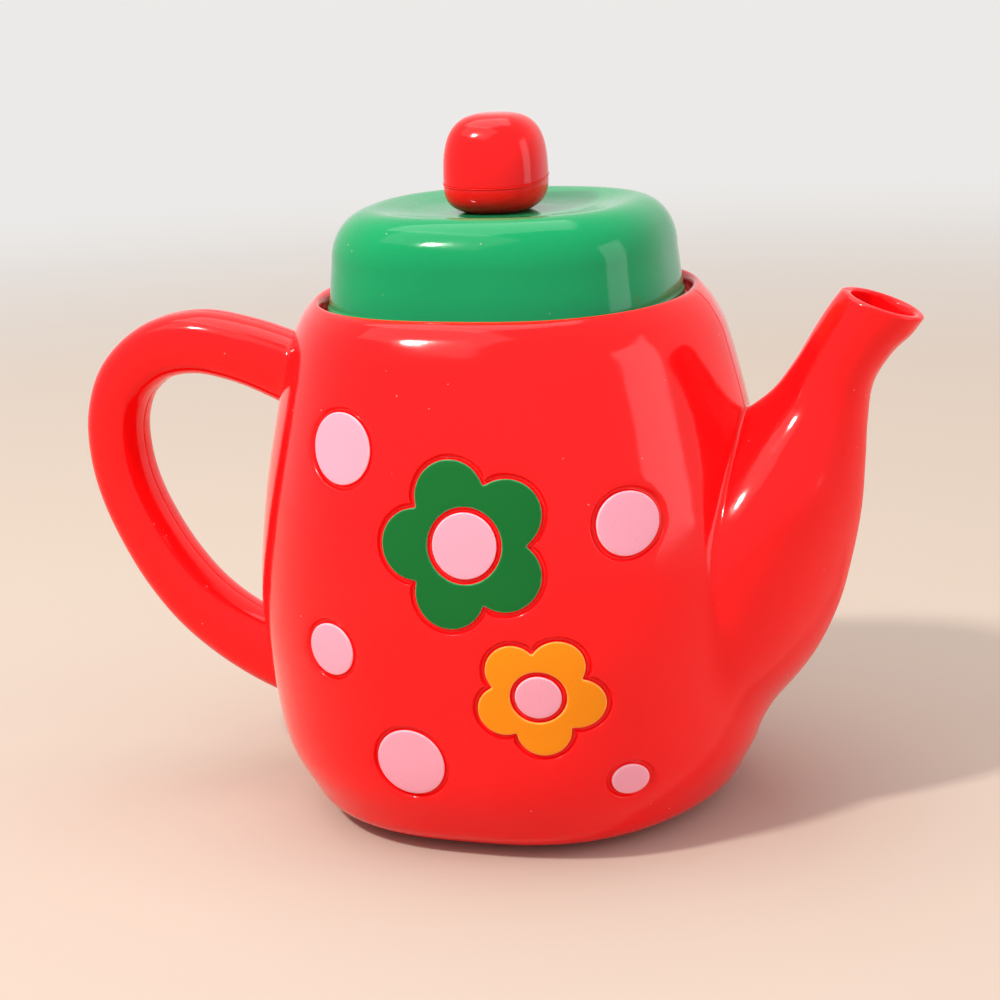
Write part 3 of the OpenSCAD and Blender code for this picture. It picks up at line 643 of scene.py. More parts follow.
def shell_mesh(name, skin, props, mirrored, tabs):
    """A closed mesh in metres: the seam sunk, and the middle plane filled between open edges."""
    bm = bmesh.new()
    verts = [bm.verts.new(p) for p in skin.all_points()]
    for face in skin.faces:
        bm.faces.new([verts[i] for i in face])
    bmesh.ops.recalc_face_normals(bm, faces=bm.faces)
    bm.normal_update()
    bm.verts.index_update()
    moved = []
    for i in skin.seamed:
        n = verts[i].normal * Vector((1, 0, 1))
        sunk = np.interp(abs(verts[i].co.y), *np.array(SEAM).T)
        moved.append((verts[i], verts[i].co - n.normalized() * sunk))
    for vert, place in moved:
        vert.co = place
    edges = [edge for edge in bm.edges if len(edge.link_faces) == 1]
    used = sorted({vert for edge in edges for vert in edge.verts}, key=lambda vert: vert.index)
    away = [vert.co.copy().freeze() for vert in used if abs(vert.co.y) > 1e-6]
    if away:
        raise RuntimeError(f"{name} is open away from the middle plane, such as at {away[:4]}")
    order = {vert: i for i, vert in enumerate(used)}
    flat = np.array([(vert.co.x, vert.co.z) for vert in used])
    for tri in triangles(flat, [tuple(order[vert] for vert in edge.verts) for edge in edges]):
        bm.faces.new([used[k] for k in tri])
    for across in tabs:
        add_tab(bm, across, props.pot.wall / MM)
    if mirrored:
        bmesh.ops.scale(bm, vec=(1, -1, 1), verts=bm.verts)
    bmesh.ops.recalc_face_normals(bm, faces=bm.faces)
    loose = [edge for edge in bm.edges if len(edge.link_faces) != 2]
    if loose:
        raise RuntimeError(f"{name} is not closed: {len(loose)} edges")
    bmesh.ops.scale(bm, vec=(MM, MM, MM), verts=bm.verts)
    return finish_mesh(bm, bpy.data.meshes.new(name), 42)


def pad_mesh(name, wall, x, z, rings, closed_middle, mirrored):
    """A closed coloured layer in its bed. The rings run from the middle or the inner edge outwards
    on top and back underneath; each is offsets, depth, and its share of the painted highlight."""
    bm = bmesh.new()
    # Share of the painted highlight at each point, read by the paint through the edge attribute
    painted_highlight_layer = bm.verts.layers.float.new("edge")
    rows = []
    # The third value of a ring is its share of the painted highlight
    for offsets, depth, paint in rings:
        points = wall.face(x + offsets[:, 0], z + offsets[:, 1], np.full(len(offsets), depth))
        row = [bm.verts.new(p) for p in points]
        for vert in row:
            vert[painted_highlight_layer] = paint
        rows.append(row)
    pairs = list(zip(rows, rows[1:]))
    if closed_middle:
        for row, depth in ((rows[0], rings[0][1]), (rows[-1], rings[-1][1])):
            tip = bm.verts.new(wall.face(np.array([x]), np.array([z]), np.array([depth]))[0])
            for j, vert in enumerate(row):
                bm.faces.new((vert, row[(j + 1) % len(row)], tip))
    else:
        pairs.append((rows[-1], rows[0]))
    for one, other in pairs:
        band(bm, one, other)
    bmesh.ops.scale(bm, vec=(MM, -MM if mirrored else MM, MM), verts=bm.verts)
    bmesh.ops.recalc_face_normals(bm, faces=bm.faces)
    return finish_mesh(bm, bpy.data.meshes.new(name), 60)


def edge_rings(outline_at, rows, way):
    """Rings over a rounded edge, and their share of the painted highlight, most at the edge."""
    return [(outline_at(way * inset), depth, max(0.0, 1 - inset / 0.4)) for inset, depth in rows]


def disc_pad_rings(outline_at):
    """Rings of a plain coloured disc or dot."""
    top = [(outline_at(-PAD_EDGE[-1][0]) * s, 0.0, 0.0) for s in (0.25, 0.5, 0.72, 0.88)]
    under = [(outline_at(0) * s, PAD_EDGE[0][1], 1.0) for s in (0.7, 0.35)]
    return top + edge_rings(outline_at, PAD_EDGE[::-1], -1) + under


def petal_pad_rings(outline_at, inner_at):
    """Rings of a coloured flower round its middle: both edges are rounded."""
    # paint: the rows' share of the painted highlight
    def between(one, other, shares, depth, paint):
        return [(one * (1 - s) + other * s, depth, paint) for s in shares]
    inset, bed = PAD_EDGE[-1][0], PAD_EDGE[0][1]
    across = between(inner_at(inset), outline_at(-inset), np.linspace(0, 1, 9)[1:-1], 0.0, 0.0)
    under = between(outline_at(0), inner_at(0), (0.33, 0.67), bed, 1.0)
    return (edge_rings(inner_at, PAD_EDGE, 1) + across
            + edge_rings(outline_at, PAD_EDGE[::-1], -1) + under)


def add_node(tree, kind, links=(), **settings):
    """Add a node right of those that it reads, set its settings, and link or set each input named
    in links. A node given there is read at its first output in use."""
    node = tree.nodes.new(kind)
    for key, value in settings.items():
        setattr(node, key, value)
    column = 0
    for key, value in dict(links).items():
        if isinstance(value, bpy.types.Node):
            value = next(socket for socket in value.outputs if socket.enabled)
        if isinstance(value, bpy.types.NodeSocket):
            tree.links.new(value, node.inputs[key])
            column = max(column, value.node.location.x + 250)
        else:
            node.inputs[key].default_value = value
    taken = sum(other != node and other.location.x == column for other in tree.nodes)
    node.location = (column, -300 * taken)
    return node


def linear(hex_colour):
    """sRGB hex value to linear colour."""
    value = hex_colour.lstrip("#")
    parts = [int(value[i:i + 2], 16) / 255 for i in (0, 2, 4)]
    return tuple(c / 12.92 if c <= 0.04045 else ((c + 0.055) / 1.055)**2.4 for c in parts) + (1.0,)


def rounded_square_tree():
    """Geometry nodes that turn a profile round a rounded square. The profile's points carry how far
    in they lie, how wide they spread (0 closes the middle) and their height."""
    tree = bpy.data.node_groups.new("Rounded Square Turning", "GeometryNodeTree")
    add = partial(add_node, tree)
    for name, kind, value in (("Profile", "NodeSocketGeometry", None),
                              ("Half Width", "NodeSocketFloat", 0.03),
                              ("Half Depth", "NodeSocketFloat", 0.03),
                              ("Power", "NodeSocketFloat", 2.25),
                              ("Off Centre", "NodeSocketFloat", 0.0),
                              ("Steps", "NodeSocketInt", 96),
                              ("Material", "NodeSocketMaterial", None)):
        socket = tree.interface.new_socket(name, in_out="INPUT", socket_type=kind)
        if value is not None:
            socket.default_value = value
    tree.interface.new_socket("Piece", in_out="OUTPUT", socket_type="NodeSocketGeometry")
    given = add("NodeGroupInput").outputs
    points = add("GeometryNodeAttributeDomainSize", {"Geometry": given["Profile"]})
    # Each row: what it gives, the operation, and its two values, which may name earlier rows
    value = {name: given[name]
             for name in ("Half Width", "Half Depth", "Power", "Off Centre", "Steps")}
    value["index"] = add("GeometryNodeInputIndex")
    rows = [("around", "ADD", "Steps", 1.0), ("half on", "ADD", "index", 0.5),
            ("rows", "DIVIDE", "half on", "around"), ("row", "FLOOR", "rows", 0.0),
            ("passed", "MULTIPLY", "row", "around"), ("step", "SUBTRACT", "index", "passed"),
            ("turned", "DIVIDE", "step", "Steps"), ("angle", "MULTIPLY", "turned", 2 * np.pi),
            ("bend", "DIVIDE", 2.0, "Power")]
    place = add("GeometryNodeInputPosition")
    sample = add("GeometryNodeSampleIndex", {"Geometry": given["Profile"], "Value": place},
                 data_type="FLOAT_VECTOR")
    profile = add("ShaderNodeSeparateXYZ", {0: sample}).outputs
    value["inset"], value["spread"] = profile["X"], profile["Y"]
    for axis, turn, half in (("x", "COSINE", "Half Width"), ("y", "SINE", "Half Depth")):
        names = [f"{axis} {end}"
                 for end in ("turn", "size", "bent", "sign", "side", "half", "reach")]
        turned, size, bent, sign, side, left, reach = names
        rows += [(turned, turn, "angle", 0.0), (size, "ABSOLUTE", turned, 0.0),
                 (bent, "POWER", size, "bend"), (sign, "SIGN", turned, 0.0),
                 (side, "MULTIPLY", bent, sign), (left, "SUBTRACT", half, "inset"),
                 (reach, "MULTIPLY", left, "spread"), (axis, "MULTIPLY", side, reach)]
    rows.append(("x moved", "ADD", "x", "Off Centre"))
    for name, operation, one, other in rows:
        inputs = {0: value.get(one, one), 1: value.get(other, other)}
        value[name] = add("ShaderNodeMath", inputs, operation=operation)
    tree.links.new(value["row"].outputs[0], sample.inputs["Index"])
    grid = add("GeometryNodeMeshGrid", {"Vertices X": points, "Vertices Y": value["around"]})
    moved = add("ShaderNodeCombineXYZ", {"X": value["x moved"], "Y": value["y"], "Z": profile["Z"]})
    shaped = add("GeometryNodeSetPosition", {"Geometry": grid, "Position": moved})
    joined = add("GeometryNodeMergeByDistance", {"Geometry": shaped, "Distance": 2e-6})
    real = add("GeometryNodeRealizeInstances", {"Geometry": joined})
    painted = add("GeometryNodeSetMaterial", {"Geometry": real, "Material": given["Material"]})
    add("NodeGroupOutput", {0: painted})
    return tree


def turned_piece(name, rows, material, **values):
    """A closed piece turned from rows of inset, spread and height, given in millimetres."""
    line = bpy.data.meshes.new(name + "_profile")
    line.from_pydata([(inset * MM, spread, z * MM) for inset, spread, z in rows],
                     [(i, i + 1) for i in range(len(rows) - 1)], [])
    piece = add_piece(name, line)
    tree = bpy.data.node_groups.get("Rounded Square Turning") or rounded_square_tree()
    modifier = piece.modifiers.new("Turning", "NODES")
    modifier.node_group = tree
    for item in tree.interface.items_tree:
        key = item.name.lower().replace(" ", "_")
        if item.in_out == "INPUT" and key in values:
            modifier[item.identifier] = values[key]
        elif item.in_out == "INPUT" and key == "material":
            modifier[item.identifier] = material
    shown = bpy.context.evaluated_depsgraph_get()
    mesh = bpy.data.meshes.new_from_object(piece.evaluated_get(shown), depsgraph=shown)
    piece.modifiers.clear()
    piece.data = mesh
    mesh.name = name
    bpy.data.meshes.remove(line)
    bm = bmesh.new()
    bm.from_mesh(mesh)
    bmesh.ops.recalc_face_normals(bm, faces=bm.faces)
    open_edges = sum(len(edge.link_faces) != 2 for edge in bm.edges)
    if open_edges:
        raise RuntimeError(f"{name} is not closed: {open_edges} edges")
    finish_mesh(bm, mesh, 50)
    return piece


def add_piece(name, mesh):
    piece = bpy.data.objects.new(name, mesh)
    bpy.context.scene.collection.objects.link(piece)
    return piece


def lid_rows(lid, rim):
    """Profile of the lid: dish, rounded edge, side, bead, foot, collar, and the hollow below."""
    wide, tall, crest, t = lid.edge / MM, lid.edge_height / MM, rim + lid.rise / MM, lid.wall / MM
    foot, draft, dish, run = rim - LEDGE_DROP + 0.1, 0.9, lid.dish / MM, lid.dish_run / MM
    collar_in = lid.overlap / MM + 0.5
    collar_out = collar_in + 1.6
    turn = np.radians(np.linspace(90, 0, 25))
    shares = np.linspace(1, 0, 25)[:-1]

    def top(thick):
        rows = [(draft + wide + run, s, crest - dish - thick) for s in (0, 0.2, 0.4, 0.6, 0.8)]
        falls = zip(shares, curve(DISH, shares))
        rows += [(draft + wide + run * a, 1, crest - thick - dish * b) for a, b in falls]
        return rows + [(draft + thick + (wide - thick) * (1 - cos(a)), 1,
                        crest - tall + (tall - thick) * sin(a)) for a in turn]

    rows = top(0)
    rows += [(draft * (1 - s), 1, crest - tall + (foot + 2.6 - crest + tall) * s)
             for s in (0.25, 0.5, 0.75, 0.97)]
    rows += [(-0.06, 1, foot + 2.42), (-0.2, 1, foot + 2.25), (-0.31, 1, foot + 2.0),
             (-0.35, 1, foot + 1.6), (-0.35, 1, foot + 0.4), (-0.3, 1, foot + 0.15),
             (-0.12, 1, foot + 0.02), (0.05, 1, foot)]
    rows += [(collar_in - 0.3, 1, foot), (collar_in, 1, foot - 0.3), (collar_in, 1, foot - 5.6),
             (collar_in + 0.1, 1, foot - 5.85), (collar_in + 0.4, 1, foot - 6),
             (collar_out - 0.4, 1, foot - 6), (collar_out - 0.1, 1, foot - 5.85),
             (collar_out, 1, foot - 5.6), (collar_out, 1, foot + 1.3),
             (collar_out - 0.25, 1, foot + 1.6), (t + 0.6, 1, foot + 1.6),
             (t + 0.15, 1, foot + 1.8), (t, 1, foot + 2.3)]
    return rows + top(t)[::-1]


def knob_rows(knob, seat):
    """Profiles of the knob's two halves, which meet in a slim raised seam."""
    half, low, high, t = knob.width / MM / 2, knob.low / MM, knob.high / MM * 0.992, knob.wall / MM
    seam, low_cut = seat + low, 0.93

    def dome(wide, tall, shares):
        """Rows up a dome that draws in a little towards its top."""
        p = KNOB_HIGH_POWER
        return [(half - wide * (1 - 0.02 * s) * (1 - s**p)**(1 / p), 1, seam + tall * s)
                for s in shares]

    under = [(half - half * (1 - s**KNOB_LOW_POWER)**(1 / KNOB_LOW_POWER), 1,
              seam - low * s / low_cut) for s in np.linspace(low_cut, 0.05, 28)]
    middle = under[0][0]
    base = [(middle, s, seat) for s in (0, 0.35, 0.7, 0.94)] + under
    base += [(-0.02, 1, seam - 0.26), (-0.09, 1, seam - 0.19), (-0.13, 1, seam - 0.11),
             (-0.1, 1, seam - 0.03), (-0.02, 1, seam), (t - 0.1, 1, seam), (t, 1, seam - 0.1),
             (t, 1, seam - 2), (t + 1.2, 1, seam - 4)]
    base += [(half / 2, s, seat + t) for s in (1, 0.5, 0)]
    over = dome(half, high, np.sin(np.radians(np.linspace(1.5, 89.2, 48))))
    cap = [(over[-1][0], s, seam + high) for s in (0, 0.35, 0.7)] + over[::-1]
    cap += [(0, 1, seam + 0.16), (0.02, 1, seam + 0.07), (0.08, 1, seam + 0.01),
            (t + 0.9, 1, seam + 0.01)]
    cap += dome(half - t, high - t, (0.35, 0.5, 0.65, 0.78, 0.88, 0.95, 0.99))
    cap += [(cap[-1][0], s, seam + high - t) for s in (0.5, 0)]
    return base, cap


def start_nodes(owner):
    """Empty the node tree of a material or a world, and give what adds nodes to it."""
    owner.use_nodes = True
    owner.node_tree.nodes.clear()
    return partial(add_node, owner.node_tree)


def start_material(name):
    """An empty material, what adds its nodes, and the place on the piece that its patterns read."""
    material = bpy.data.materials.new(name)
    add = start_nodes(material)
    return material, add, add("ShaderNodeTexCoord").outputs["Object"]


def moulded_plastic(name, main, deep, gloss):
    """Injection-moulded ABS from a polished tool: saturated and glossy, a little light comes back
    out of its slim walls, and the faint waviness of the moulding bends its highlights."""
    material, add, place = start_material(name)
    flow = add("ShaderNodeTexNoise", {"Vector": place, "Scale": 1 / (38 * MM), "Detail": 2.0})
    colour = add("ShaderNodeMix", {"Factor": flow, "A": linear(main), "B": linear(deep)},
                 data_type="RGBA")
    # Dust in the moulding: a pale speck of about a third of a millimetre every few centimetres
    dust = add("ShaderNodeTexVoronoi", {"Vector": place, "Scale": 1 / (5 * MM)})
    speck = add("ShaderNodeMapRange", {"Value": dust, "From Min": 0.02, "From Max": 0.04,
                                       "To Min": 0.35, "To Max": 0.0})
    dusty = add("ShaderNodeMix", {"Factor": speck, "A": colour, "B": linear("#F6D8D2")},
                data_type="RGBA")
    handled = add("ShaderNodeTexNoise", {"Vector": place, "Scale": 1 / (9 * MM), "Detail": 5.0,
                                         "Roughness": 0.65})
    rough = add("ShaderNodeMapRange", {"Value": handled, "From Min": 0.3, "From Max": 0.75,
                                       "To Min": gloss, "To Max": gloss + 0.08})
    # Waves of the moulding, 3 mm long, and a fine grain that only softens the gloss
    peel = add("ShaderNodeTexNoise", {"Vector": place, "Scale": 1 / (3.2 * MM), "Detail": 1.0})
    wavy = add("ShaderNodeBump", {"Height": peel, "Distance": 0.000022, "Strength": 1.0})
    grain = add("ShaderNodeTexNoise", {"Vector": place, "Scale": 1 / (0.35 * MM), "Detail": 2.0})
    bump = add("ShaderNodeBump", {"Height": grain, "Distance": 0.0000012, "Strength": 1.0,
                                  "Normal": wavy})
    shader = add("ShaderNodeBsdfPrincipled",
                 {"Base Color": dusty, "Roughness": rough, "Normal": bump, "IOR": 1.5,
                  "Specular IOR Level": 0.27, "Subsurface Weight": 0.12,
                  "Subsurface Radius": (1.0, 0.25, 0.12), "Subsurface Scale": 0.003})
    add("ShaderNodeOutputMaterial", {"Surface": shader})
    return material


def pad_paint(name, main, rim):
    """Pad-printed paint over moulded ABS: satin, with fine dark specks of dust under it, and a
    painted highlight: a lighter tint mixed in over the rounded edge of its island."""
    material, add, place = start_material(name)
    # Painted highlight: a lighter tint towards the rounded edge of the island, ragged along the
    # edge
    edge = add("ShaderNodeAttribute", attribute_name="edge").outputs["Fac"]
    ragged = add("ShaderNodeTexNoise", {"Vector": place, "Scale": 1 / (1.6 * MM), "Detail": 3.0})
    painted_highlight = add("ShaderNodeMath", {0: edge, 1: ragged}, operation="MULTIPLY")
    highlight_share = add("ShaderNodeMapRange",
                {"Value": painted_highlight, "From Min": 0.12, "From Max": 0.42, "To Max": 0.55})
    tint = add("ShaderNodeMix", {"Factor": highlight_share, "A": linear(main), "B": linear(rim)},
               data_type="RGBA")
    # Specks of about 0.15 mm, one every 2 mm or so, a little larger than real so that they show
    dust = add("ShaderNodeTexVoronoi", {"Vector": place, "Scale": 1 / (1.5 * MM)})
    speck = add("ShaderNodeMapRange", {"Value": dust, "From Min": 0.05, "From Max": 0.11,
                                       "To Min": 0.22, "To Max": 0.0})
    body = add("ShaderNodeMix", {"Factor": speck, "A": tint, "B": linear("#5A3B3C")},
               data_type="RGBA")
    grain = add("ShaderNodeTexNoise", {"Vector": place, "Scale": 1 / (0.5 * MM), "Detail": 4.0})
    rough = add("ShaderNodeMapRange", {"Value": grain, "To Min": 0.3, "To Max": 0.5})
    bump = add("ShaderNodeBump", {"Height": grain, "Distance": 0.000008, "Strength": 1.0})
    shader = add("ShaderNodeBsdfPrincipled",
                 {"Base Color": body, "Roughness": rough, "Normal": bump, "IOR": 1.48,
                  "Specular IOR Level": 0.22})
    add("ShaderNodeOutputMaterial", {"Surface": shader})
    return material


def zinc_plated_steel(name):
    """Bright zinc plating on pressed steel: a pale bluish metal with a soft, blotched gloss."""
    material, add, place = start_material(name)
    blotch = add("ShaderNodeTexNoise", {"Vector": place, "Scale": 1 / (1.2 * MM), "Detail": 4.0})
    colour = add("ShaderNodeMix",
                 {"Factor": blotch, "A": linear("#C9CCD0"), "B": linear("#AEB3BA")},
                 data_type="RGBA")
    rough = add("ShaderNodeMapRange", {"Value": blotch, "To Min": 0.22, "To Max": 0.42})
    shader = add("ShaderNodeBsdfPrincipled",
                 {"Base Color": colour, "Metallic": 1.0, "Roughness": rough})
    add("ShaderNodeOutputMaterial", {"Surface": shader})
    return material


def sees_background(add):
    """1 for rays from the camera, a mirror or glass, which see the plain background, else 0."""
    ray = add("ShaderNodeLightPath").outputs
    sharp = add("ShaderNodeMath", {0: ray["Is Glossy Ray"], 1: ray["Is Transmission Ray"]},
                operation="MAXIMUM")
    return add("ShaderNodeMath", {0: ray["Is Camera Ray"], 1: sharp}, operation="MAXIMUM")


def stage_floor(name, colour, far):
    """Matt seamless paper: takes the soft shadow, and runs out into the background's own colour."""
    material, add, place = start_material(name)
    away = add("ShaderNodeVectorMath", {0: place}, operation="LENGTH")
    fade = add("ShaderNodeMapRange", {"Value": away, "From Min": 0.3, "From Max": 1.1},
               interpolation_type="SMOOTHSTEP")
    part = add("ShaderNodeMath", {0: fade, 1: sees_background(add)}, operation="MULTIPLY")
    paper = add("ShaderNodeBsdfDiffuse", {"Color": linear(colour)})
    glow = add("ShaderNodeEmission", {"Color": linear(far)})
    mixed = add("ShaderNodeMixShader", {0: part, 1: paper, 2: glow})
    add("ShaderNodeOutputMaterial", {"Surface": mixed})
    return material


def material_for(name, make, *values):
    """The named material, made once."""
    return bpy.data.materials.get(name) or make(name, *values)


def shell_red(colours):
    return material_for("glossy_moulded_red_abs", moulded_plastic, to_hex(colours.shell),
                        to_hex(colours.shell, 0.95), 0.07)


def to_hex(colour, dim=1.0):
    """A gamma-coloured property as an sRGB hex value, dimmed if asked."""
    return "#" + "".join(f"{int(round(255 * min(c * dim, 1))):02X}" for c in colour[:3])


def from_hex(hex_colour):
    value = hex_colour.lstrip("#")
    return tuple(int(value[i:i + 2], 16) / 255 for i in (0, 2, 4))


def length(name, description, default):
    return bpy.props.FloatProperty(name=name, description=description, default=default * MM,
                                   min=0.0, unit="LENGTH", precision=5)


def tint(name, description, default):
    return bpy.props.FloatVectorProperty(name=name, description=description,
                                         default=from_hex(default), size=3, min=0.0, max=1.0,
                                         subtype="COLOR_GAMMA")


class TeapotPotSizes(bpy.types.PropertyGroup):
    width: length("Width", "Width of the pot at its belly", 107.6)
    depth: length("Depth", "Depth of the pot at its belly, front to back", 105.2)
    height: length("Height", "Height of the pot up to the top of its rim", 106)
    wall: length("Wall", "Thickness of the moulded walls", 2)


class TeapotHandleSizes(bpy.types.PropertyGroup):
    reach: length("Reach", "How far the middle of the grip stands out beyond the belly", 35.9)
    high: length("Top", "Height of the grip's highest point, at its middle line", 94.2)
    low: length("Foot", "Height where the grip runs back into the pot", 24)
    thickness: length("Thickness", "Thickness of the grip seen from the front", 11.8)
    depth: length("Depth", "Depth of the grip, front to back", 15)


class TeapotSpoutSizes(bpy.types.PropertyGroup):
    reach: length("Reach", "How far the spout's lip stands out beyond the belly, as a scale", 30.2)
    height: length("Height", "Height of the top of the lip", 106.8)
    depth: length("Depth", "Depth of the spout where it is widest", 56)


class TeapotLidSizes(bpy.types.PropertyGroup):
    width: length("Width", "Width of the lid at its foot", 69.4)
    depth: length("Depth", "Depth of the lid at its foot", 67.4)
    rise: length("Rise", "Height of the lid's crest above the rim", 17.6)
    edge: length("Edge Width", "Width of the big rounded edge on top, seen from above", 8)
    edge_height: length("Edge Height", "Height of the big rounded edge", 9.8)
    dish: length("Dish", "Depth of the dish in the top", 1.7)
    dish_run: length("Dish Run", "Length over which the dish falls from the crest to its floor", 14)
    wall: length("Wall", "Thickness of the lid's walls", 1.8)
    overlap: length("Overlap", "How far the lid overlaps the ledge", 3.2)


class TeapotKnobSizes(bpy.types.PropertyGroup):
    width: length("Width", "Width of the knob at its seam", 20.4)
    low: length("Lower Half", "Height of the lower half, at its middle", 6.5)
    high: length("Upper Half", "Height of the upper half, at its middle", 13)
    off: length("Off Centre", "How far the knob stands off the middle of the lid", 1.4)
    wall: length("Wall", "Thickness of the knob's walls", 1.8)


class TeapotDecorationSizes(bpy.types.PropertyGroup):
    dot: length("Dot", "Width of the largest dot", 13.8)
    green: length("Green Flower", "Width of the green flower", 32.6)
    green_middle: length("Green Middle", "Width of the green flower's middle", 12.4)
    orange: length("Orange Flower", "Width of the orange flower", 24.2)
    orange_middle: length("Orange Middle", "Width of the orange flower's middle", 8.5)


class TeapotColours(bpy.types.PropertyGroup):
    shell: tint("Shell", "Colour of the half shells and the knob", "#FC0F12")
    lid: tint("Lid", "Colour of the lid", "#04985A")
    dots: tint("Dots", "Paint of the dots and of the flowers' middles", "#F09FB2")
    green: tint("Green Petals", "Paint of the green flower", "#036726")
    orange: tint("Orange Petals", "Paint of the orange flower", "#F28A03")
    floor: tint("Floor", "Colour of the floor", "#BEAEA0")
    background: tint("Background", "Colour of the background", "#ECEAE8")


class TeapotSettings(bpy.types.PropertyGroup):
    pot: bpy.props.PointerProperty(name="Pot", type=TeapotPotSizes)
    handle: bpy.props.PointerProperty(name="Handle", type=TeapotHandleSizes)
    spout: bpy.props.PointerProperty(name="Spout", type=TeapotSpoutSizes)
    lid: bpy.props.PointerProperty(name="Lid", type=TeapotLidSizes)
    knob: bpy.props.PointerProperty(name="Knob", type=TeapotKnobSizes)
    decoration: bpy.props.PointerProperty(name="Decoration", type=TeapotDecorationSizes)
    colours: bpy.props.PointerProperty(name="Colours", type=TeapotColours)


class TEAPOT_OT_shells(bpy.types.Operator):
    """Build the two half shells with spout, handle, rim, grooves and hollow"""
    bl_idname = "teapot.shells"
    bl_label = "Half Shells"

    def execute(self, context):
        props = context.scene.teapot
        skin = half_shell(props)
        half = props.pot.width / MM / 2
        for name, mirrored, tabs in (("front", False, (-0.48, 0, 0.48)),
                                     ("back", True, (-0.24, 0.24))):
            mesh = shell_mesh(f"half_shell_{name}", skin, props, mirrored, [half * s for s in tabs])
            piece = add_piece(f"half_shell_{name}", mesh)
            mesh.materials.append(shell_red(props.colours))
            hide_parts(f"{name}_shell")
            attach(piece, "pot")
        return {"FINISHED"}


class TEAPOT_OT_decoration(bpy.types.Operator):
    """Build the coloured layers of the flowers and dots, front and back"""
    bl_idname = "teapot.decoration"
    bl_label = "Flowers and Dots"

    def execute(self, context):
        props = context.scene.teapot
        colours, wall = props.colours, Wall(props.pot)
        # The second colour of each paint is the lighter tint of its painted highlight along the
        # rounded edge
        pink = material_for("pink_pad_paint", pad_paint, to_hex(colours.dots), "#FBD9E2")
        paints = {name: material_for(f"{name}_pad_paint", pad_paint, to_hex(colour), painted_highlight)
                  for name, colour, painted_highlight in (("green", colours.green, "#4FA873"),
                                             ("orange", colours.orange, "#F9C46A"))}
        for name, x, z, turn, middle, outline_at in decoration(props.pot, props.decoration):
            jobs = []
            if middle is None:
                jobs.append((name, disc_pad_rings(outline_at), True, pink, "dot_pink"))
            else:
                disc = lambda outset: oval_offsets(middle + outset, middle + outset, turn,
                                                   FLOWER_POINTS, 0)
                rings = petal_pad_rings(outline_at, lambda inset: disc(1 + inset))
                jobs.append((f"{name}_petals", rings, False, paints[name], f"petal_{name}"))
                jobs.append((f"{name}_middle", disc_pad_rings(disc), True, pink, "dot_pink"))
            for side, mirrored in (("front", False), ("back", True)):
                for part, rings, closed_middle, paint, slot in jobs:
                    mesh = pad_mesh(f"{side}_{part}_paint", wall, x, z, rings, closed_middle,
                                    mirrored)
                    mesh.materials.append(paint)
                    piece = add_piece(mesh.name, mesh)
                    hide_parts(f"{side}_{part}")
                    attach(piece, "pot")
        return {"FINISHED"}


class TEAPOT_OT_lid(bpy.types.Operator):
    """Build the dished lid with its bead, flange and collar"""
    bl_idname = "teapot.lid"
    bl_label = "Lid"

    def execute(self, context):
        props = context.scene.teapot
        lid = props.lid
        green = material_for("glossy_moulded_green_abs", moulded_plastic, to_hex(props.colours.lid),
                             to_hex(props.colours.lid, 0.92), 0.06)
        piece = turned_piece("dished_lid", lid_rows(lid, props.pot.height / MM), green,
                             half_width=lid.width / 2, half_depth=lid.depth / 2, power=LID_POWER,
                             steps=144)
        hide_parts("lid")
        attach(piece, "lid")
        return {"FINISHED"}


class TEAPOT_OT_knob(bpy.types.Operator):
    """Build the two halves of the knob"""
    bl_idname = "teapot.knob"
    bl_label = "Knob"

    def execute(self, context):
        props = context.scene.teapot
        knob, seat = props.knob, props.pot.height + props.lid.rise - props.lid.dish
        seam = seat + knob.low
        for part, rows in zip(("base", "cap"), knob_rows(knob, seat / MM)):
            piece = turned_piece(f"knob_{part}_half", rows, shell_red(props.colours),
                                 half_width=knob.width / 2, half_depth=knob.width / 2,
                                 power=KNOB_POWER, steps=96, off_centre=-knob.off)
            # Lean the seam: most at the seam, not at all at the foot and at the top
            for vert in piece.data.vertices:
                above = vert.co.z - seam
                tall = knob.high if above > 0 else knob.low
                vert.co.z += KNOB_LEAN * vert.co.y * (1 - abs(above) / tall)
            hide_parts(f"knob_{part}")
            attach(piece, "lid")
        return {"FINISHED"}


class TEAPOT_OT_fasteners(bpy.types.Operator):
    """Give the screw and the washer under the lid their plated finish"""
    bl_idname = "teapot.fasteners"
    bl_label = "Screw and Washer"

    def execute(self, context):
        steel = material_for("zinc_plated_pressed_steel", zinc_plated_steel)
        for node in ("knob_screw", "knob_washer"):
            for piece in cad_objects(node):
                piece.data.materials.clear()
                piece.data.materials.append(steel)
        return {"FINISHED"}


